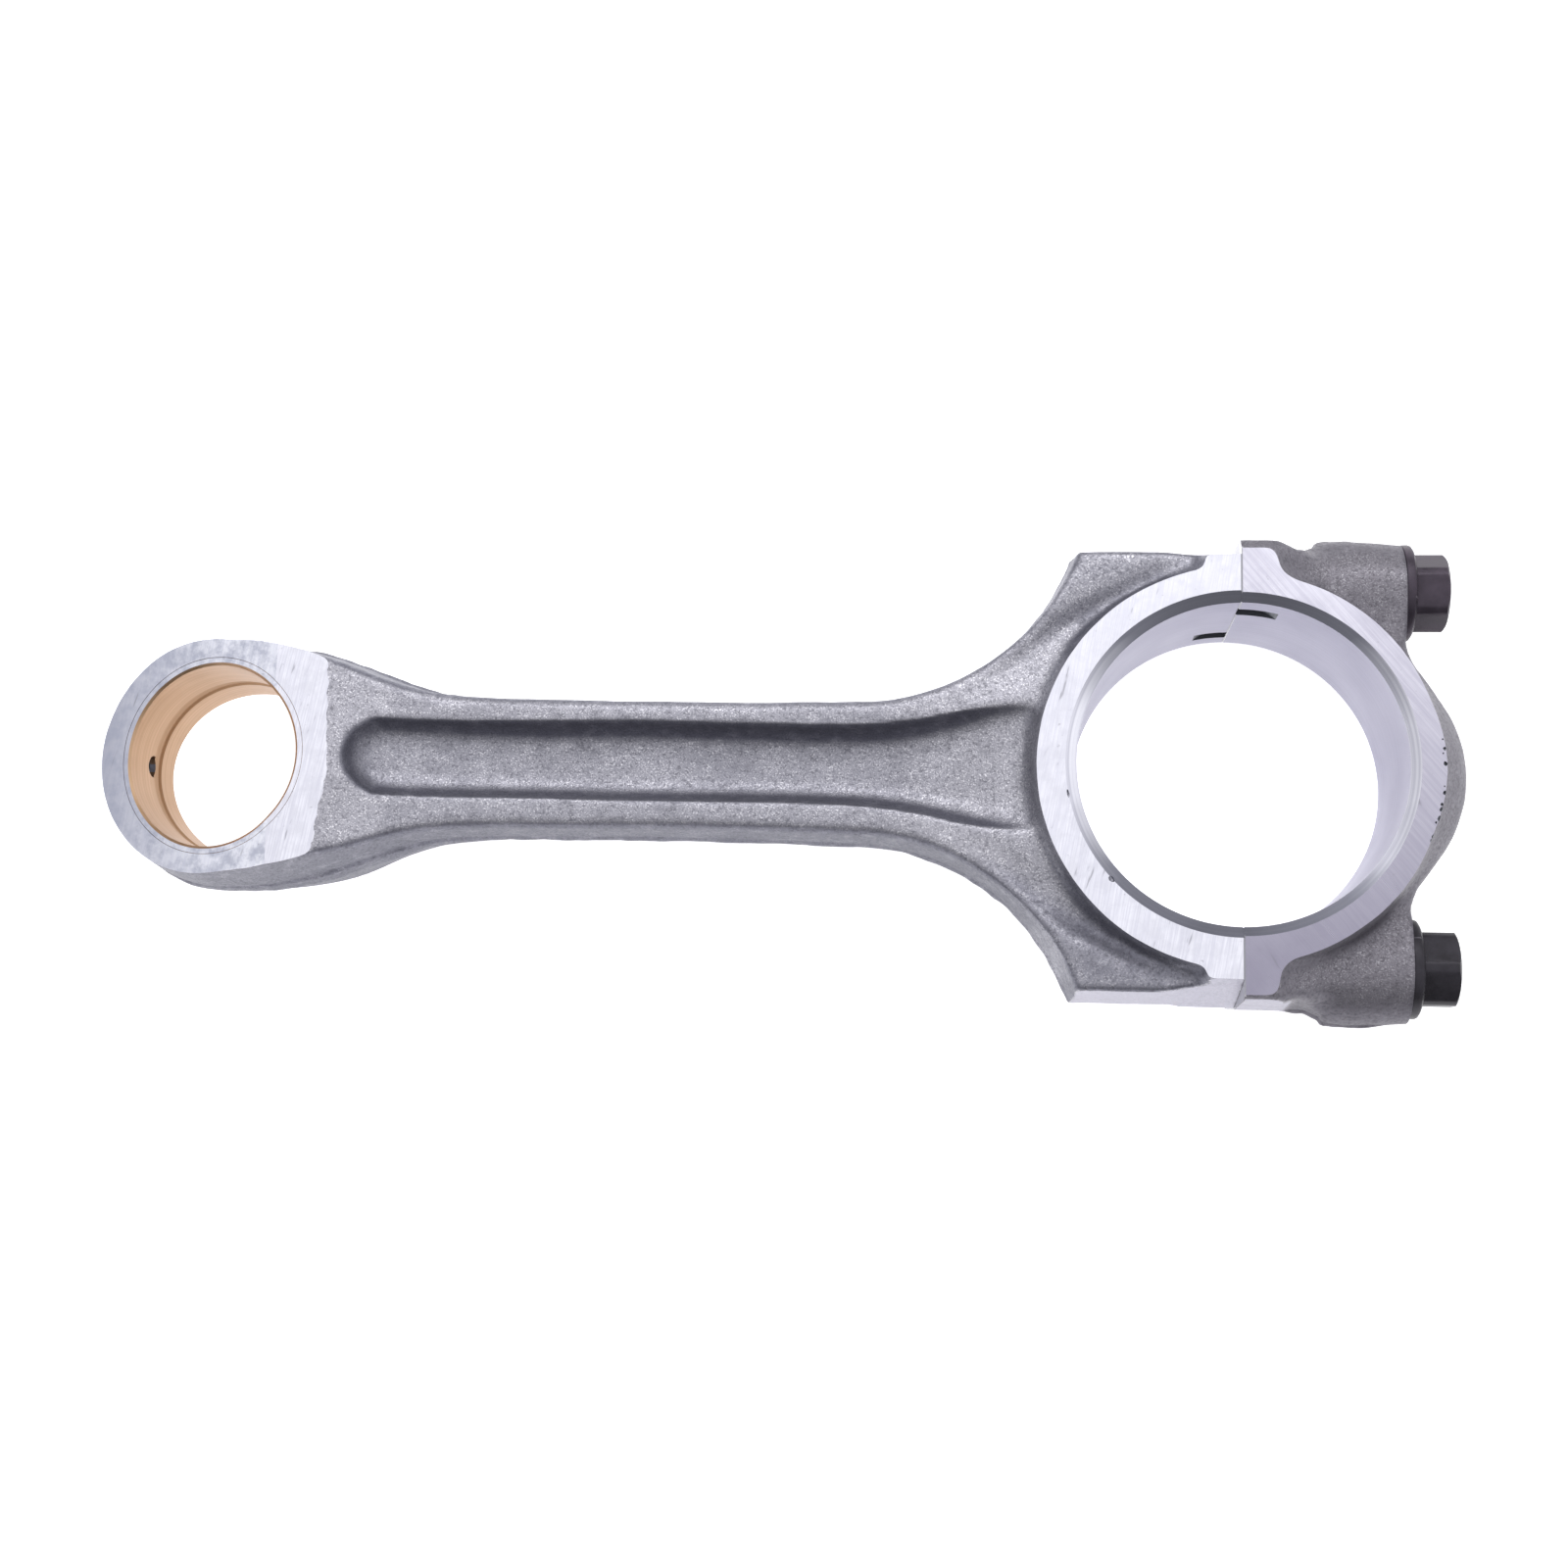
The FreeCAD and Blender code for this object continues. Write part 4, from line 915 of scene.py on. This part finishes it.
# ------------------------------------------------------------------ bush
def bush():
    n = TURN
    rows = []
    edge = lambda x: HALF - WEDGE_SLOPE * max(0.0, WEDGE_X - x) - 0.02
    groove = [(-4.9, 0), (-4.1, 0.40), (-1.5, 0.40), (-0.7, 0)]
    profile = [("t", BUSH_OUT - 0.08, 0.0), ("t", BUSH_OUT, -0.1), ("b", BUSH_OUT, 0.1), ("b", BUSH_OUT - 0.08, 0.0),
               ("b", BUSH_R + 0.55, 0.0), ("b", BUSH_R, 0.6)]
    profile += [("z", BUSH_R + d, z) for z, d in groove]
    profile += [("t", BUSH_R, -0.6), ("t", BUSH_R + 0.55, 0.0)]
    verts, faces = [], []
    for kind, r, h in profile:
        row = []
        for i in range(n):
            a = 2 * math.pi * i / n
            x, y = EYE_X + r * math.cos(a), r * math.sin(a)
            z = edge(x) + h if kind == "t" else (-edge(x) + h if kind == "b" else h)
            row.append(len(verts))
            verts.append((x, y, z))
        rows.append(row)
    for k in range(len(rows)):
        lo, hi = rows[k], rows[(k + 1) % len(rows)]
        for i in range(n):
            j = (i + 1) % n
            faces.append([lo[i], lo[j], hi[j], hi[i]])
    ob = fix_normals(new_mesh_object("bush_bronze", verts, faces))
    return combine(ob, [lathe("bush_oil", [(0, -260), (2.4, -260), (2.4, -225), (0, -225)], (0, 0, 0), "x", 48)])


bush_ob = bush()


def bush_classes(c, n):
    out = np.zeros(len(c), int)
    r = np.hypot(c[:, 0] - EYE_X, c[:, 1])
    out[(r > BUSH_R + 0.02) & (r < BUSH_R + 0.9) & (np.abs(c[:, 2] + 2.8) < 2.15)] = 1
    out[(np.abs(n[:, 2]) > 0.9) & (r > BUSH_R + 0.5) & (c[:, 0] > WEDGE_X)] = 2
    out[(np.abs(n[:, 2]) > 0.9) & (r > BUSH_R + 0.5) & (c[:, 0] <= WEDGE_X)] = 3
    return out


tidy(bush_ob, bush_classes, [M_BRONZE, M_BRONZE_DARK, M_FACE, M_WEDGE], 25.0)
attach(bush_ob, "rod")
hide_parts("small_end_bush")


# ------------------------------------------------------------------ bolts
def bolt(name, node, body, y, turn_deg, more=0.0):
    seat = SEAT_X + 0.02
    shank = lathe(name, [
        (0, -28.0), (3.9, -28.0), (4.25, -27.75), (MAJOR, -26.9), (MAJOR, -11.3), (MINOR + 0.2, -10.5), (MINOR + 0.2, -9.6), (5.2, -9.0), (5.2, 8.5),
        (4.6, 9.1), (4.6, seat - 1.2), (5.1, seat - 0.3), (5.15, seat - 0.02), (9.9, seat), (10.33, seat + 0.3), (10.38, seat + 1.5), (10.2, seat + 2.0),
        (9.6, seat + 2.4), (8.7, seat + 2.62), (8.1, seat + 2.75), (0, seat + 2.9)], (0, y, 0), "x", 72)
    corner = 7.5 / math.cos(math.radians(30))
    hexa = []
    rounding = 0.45
    for k in range(6):  # corners eased by a short arc
        a = math.radians(60 * k + 90 - turn_deg)
        for da in (-14, -7, 0, 7, 14):
            t = math.radians(da) * 0.5
            r = corner - rounding * (1 - (abs(da) / 14.0) ** 2 * 0.55)
            edge_r = 7.5 / math.cos(math.radians(30) - abs(t) * 0.9)
            rad = min(r, edge_r)
            hexa.append((y + rad * math.cos(a + t), rad * math.sin(a + t)))
    stem = prism(name + "_hex", hexa, "x", seat + 1.2, 45.7 + more)
    dome = lathe(name + "_dome", [(0, 30), (8.75, 30)] + [(r, x + more) for r, x in (
        (8.75, 42.7), (8.62, 43.5), (8.25, 44.2), (7.6, 44.65), (6.9, 44.86), (6.5, 44.9), (6.2, 44.78), (0, 44.74))], (0, y, 0), "x", 96)
    stem = combine(stem, [dome], "INTERSECT")
    shank = combine(shank, [helix(name + "_thread", y, -29.2, -10.4, MAJOR + 0.25, MINOR + 0.03, 0.60, 0.13, phase=math.pi)])
    shank = combine(shank, [stem], "UNION")
    tidy(shank, lambda c, n: np.zeros(len(c), int), [M_BOLT if y > 0 else M_BOLT_B], 24.0)
    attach(shank, body)
    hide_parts(node)
    return shank


bolt("bolt_head_a", "bolt_plus_y", "bolt_a", BOLT_Y, 21.5)
bolt("bolt_head_b", "bolt_minus_y", "bolt_b", -BOLT_Y, 0.0, 0.45)

# ------------------------------------------------------------------ stage, light, camera
bpy.ops.mesh.primitive_plane_add(size=60.0, location=(0, 0, -0.0204))
floor = bpy.context.object
floor.name = "studio_floor"
m, nt, b = material("pale_floor")
b.inputs["Base Color"].default_value = (0.93, 0.93, 0.94, 1)
b.inputs["Roughness"].default_value = 0.9
b.inputs["Emission Color"].default_value = (1.0, 1.0, 1.0, 1)
b.inputs["Emission Strength"].default_value = 0.74
floor.data.materials.append(m)

# white studio, darker low down at the front, at the small end and far behind
world = bpy.data.worlds.new("studio")
bpy.context.scene.world = world
world.use_nodes = True
wt = world.node_tree
tc = wt.nodes.new("ShaderNodeTexCoord")
sp = wt.nodes.new("ShaderNodeSeparateXYZ")
wt.links.new(tc.outputs["Generated"], sp.inputs[0])
dx, dy, dz = sp.outputs
front = math_node(wt, "MULTIPLY", remap(wt, dy, -0.85, -0.30, 0.86, 0.0), remap(wt, dz, 0.62, 0.92, 1.0, 0.0))
left = math_node(wt, "MULTIPLY", remap(wt, dx, -0.92, -0.45, 0.42, 0.0), remap(wt, dz, 0.60, 0.93, 1.0, 0.0))
behind = math_node(wt, "MULTIPLY", remap(wt, dy, 0.55, 0.92, 0.0, 0.7), remap(wt, dz, 0.30, 0.58, 1.0, 0.0))
level = 1.08
for shade in (front, left, behind):
    level = math_node(wt, "MULTIPLY", level, math_node(wt, "SUBTRACT", 1.0, shade))
background = wt.nodes["Background"]
background.inputs[0].default_value = (1.0, 1.0, 1.02, 1)
wt.links.new(level, background.inputs[1])


def softbox(name, at, look, size, size_y, power, colour=(1, 1, 1)):
    light = bpy.data.lights.new(name, "AREA")
    light.shape = "RECTANGLE"
    light.size, light.size_y, light.energy, light.color = size, size_y, power, colour
    ob = bpy.data.objects.new(name, light)
    bpy.context.collection.objects.link(ob)
    ob.location = at
    ob.rotation_euler = (Vector(look) - Vector(at)).to_track_quat("-Z", "Y").to_euler()
    return ob


softbox("key", (-0.10, 0.75, 0.80), (-0.1, 0, 0), 1.3, 0.4, 5.0)

# camera fitted to the view: 48 mm lens on a 36 mm sensor, no shift
rx, ry, rz = (math.radians(a) for a in (-8.723, -5.969, -0.598))
rot = Matrix.Rotation(rz, 3, "Z") @ Matrix.Rotation(ry, 3, "Y") @ Matrix.Rotation(rx, 3, "X")
t = Vector((95.611, 1.435, -445.853))
cam_data = bpy.data.cameras.new("camera")
cam_data.sensor_width = 36.0
cam_data.lens = 36.0 * 2133.466 / 1600.0
cam = bpy.data.objects.new("camera", cam_data)
bpy.context.collection.objects.link(cam)
place = rot.transposed().to_4x4()
place.translation = (rot.transposed() @ -t) * 0.001
cam.matrix_world = place
bpy.context.scene.camera = cam
bpy.context.scene.view_settings.view_transform = "Standard"
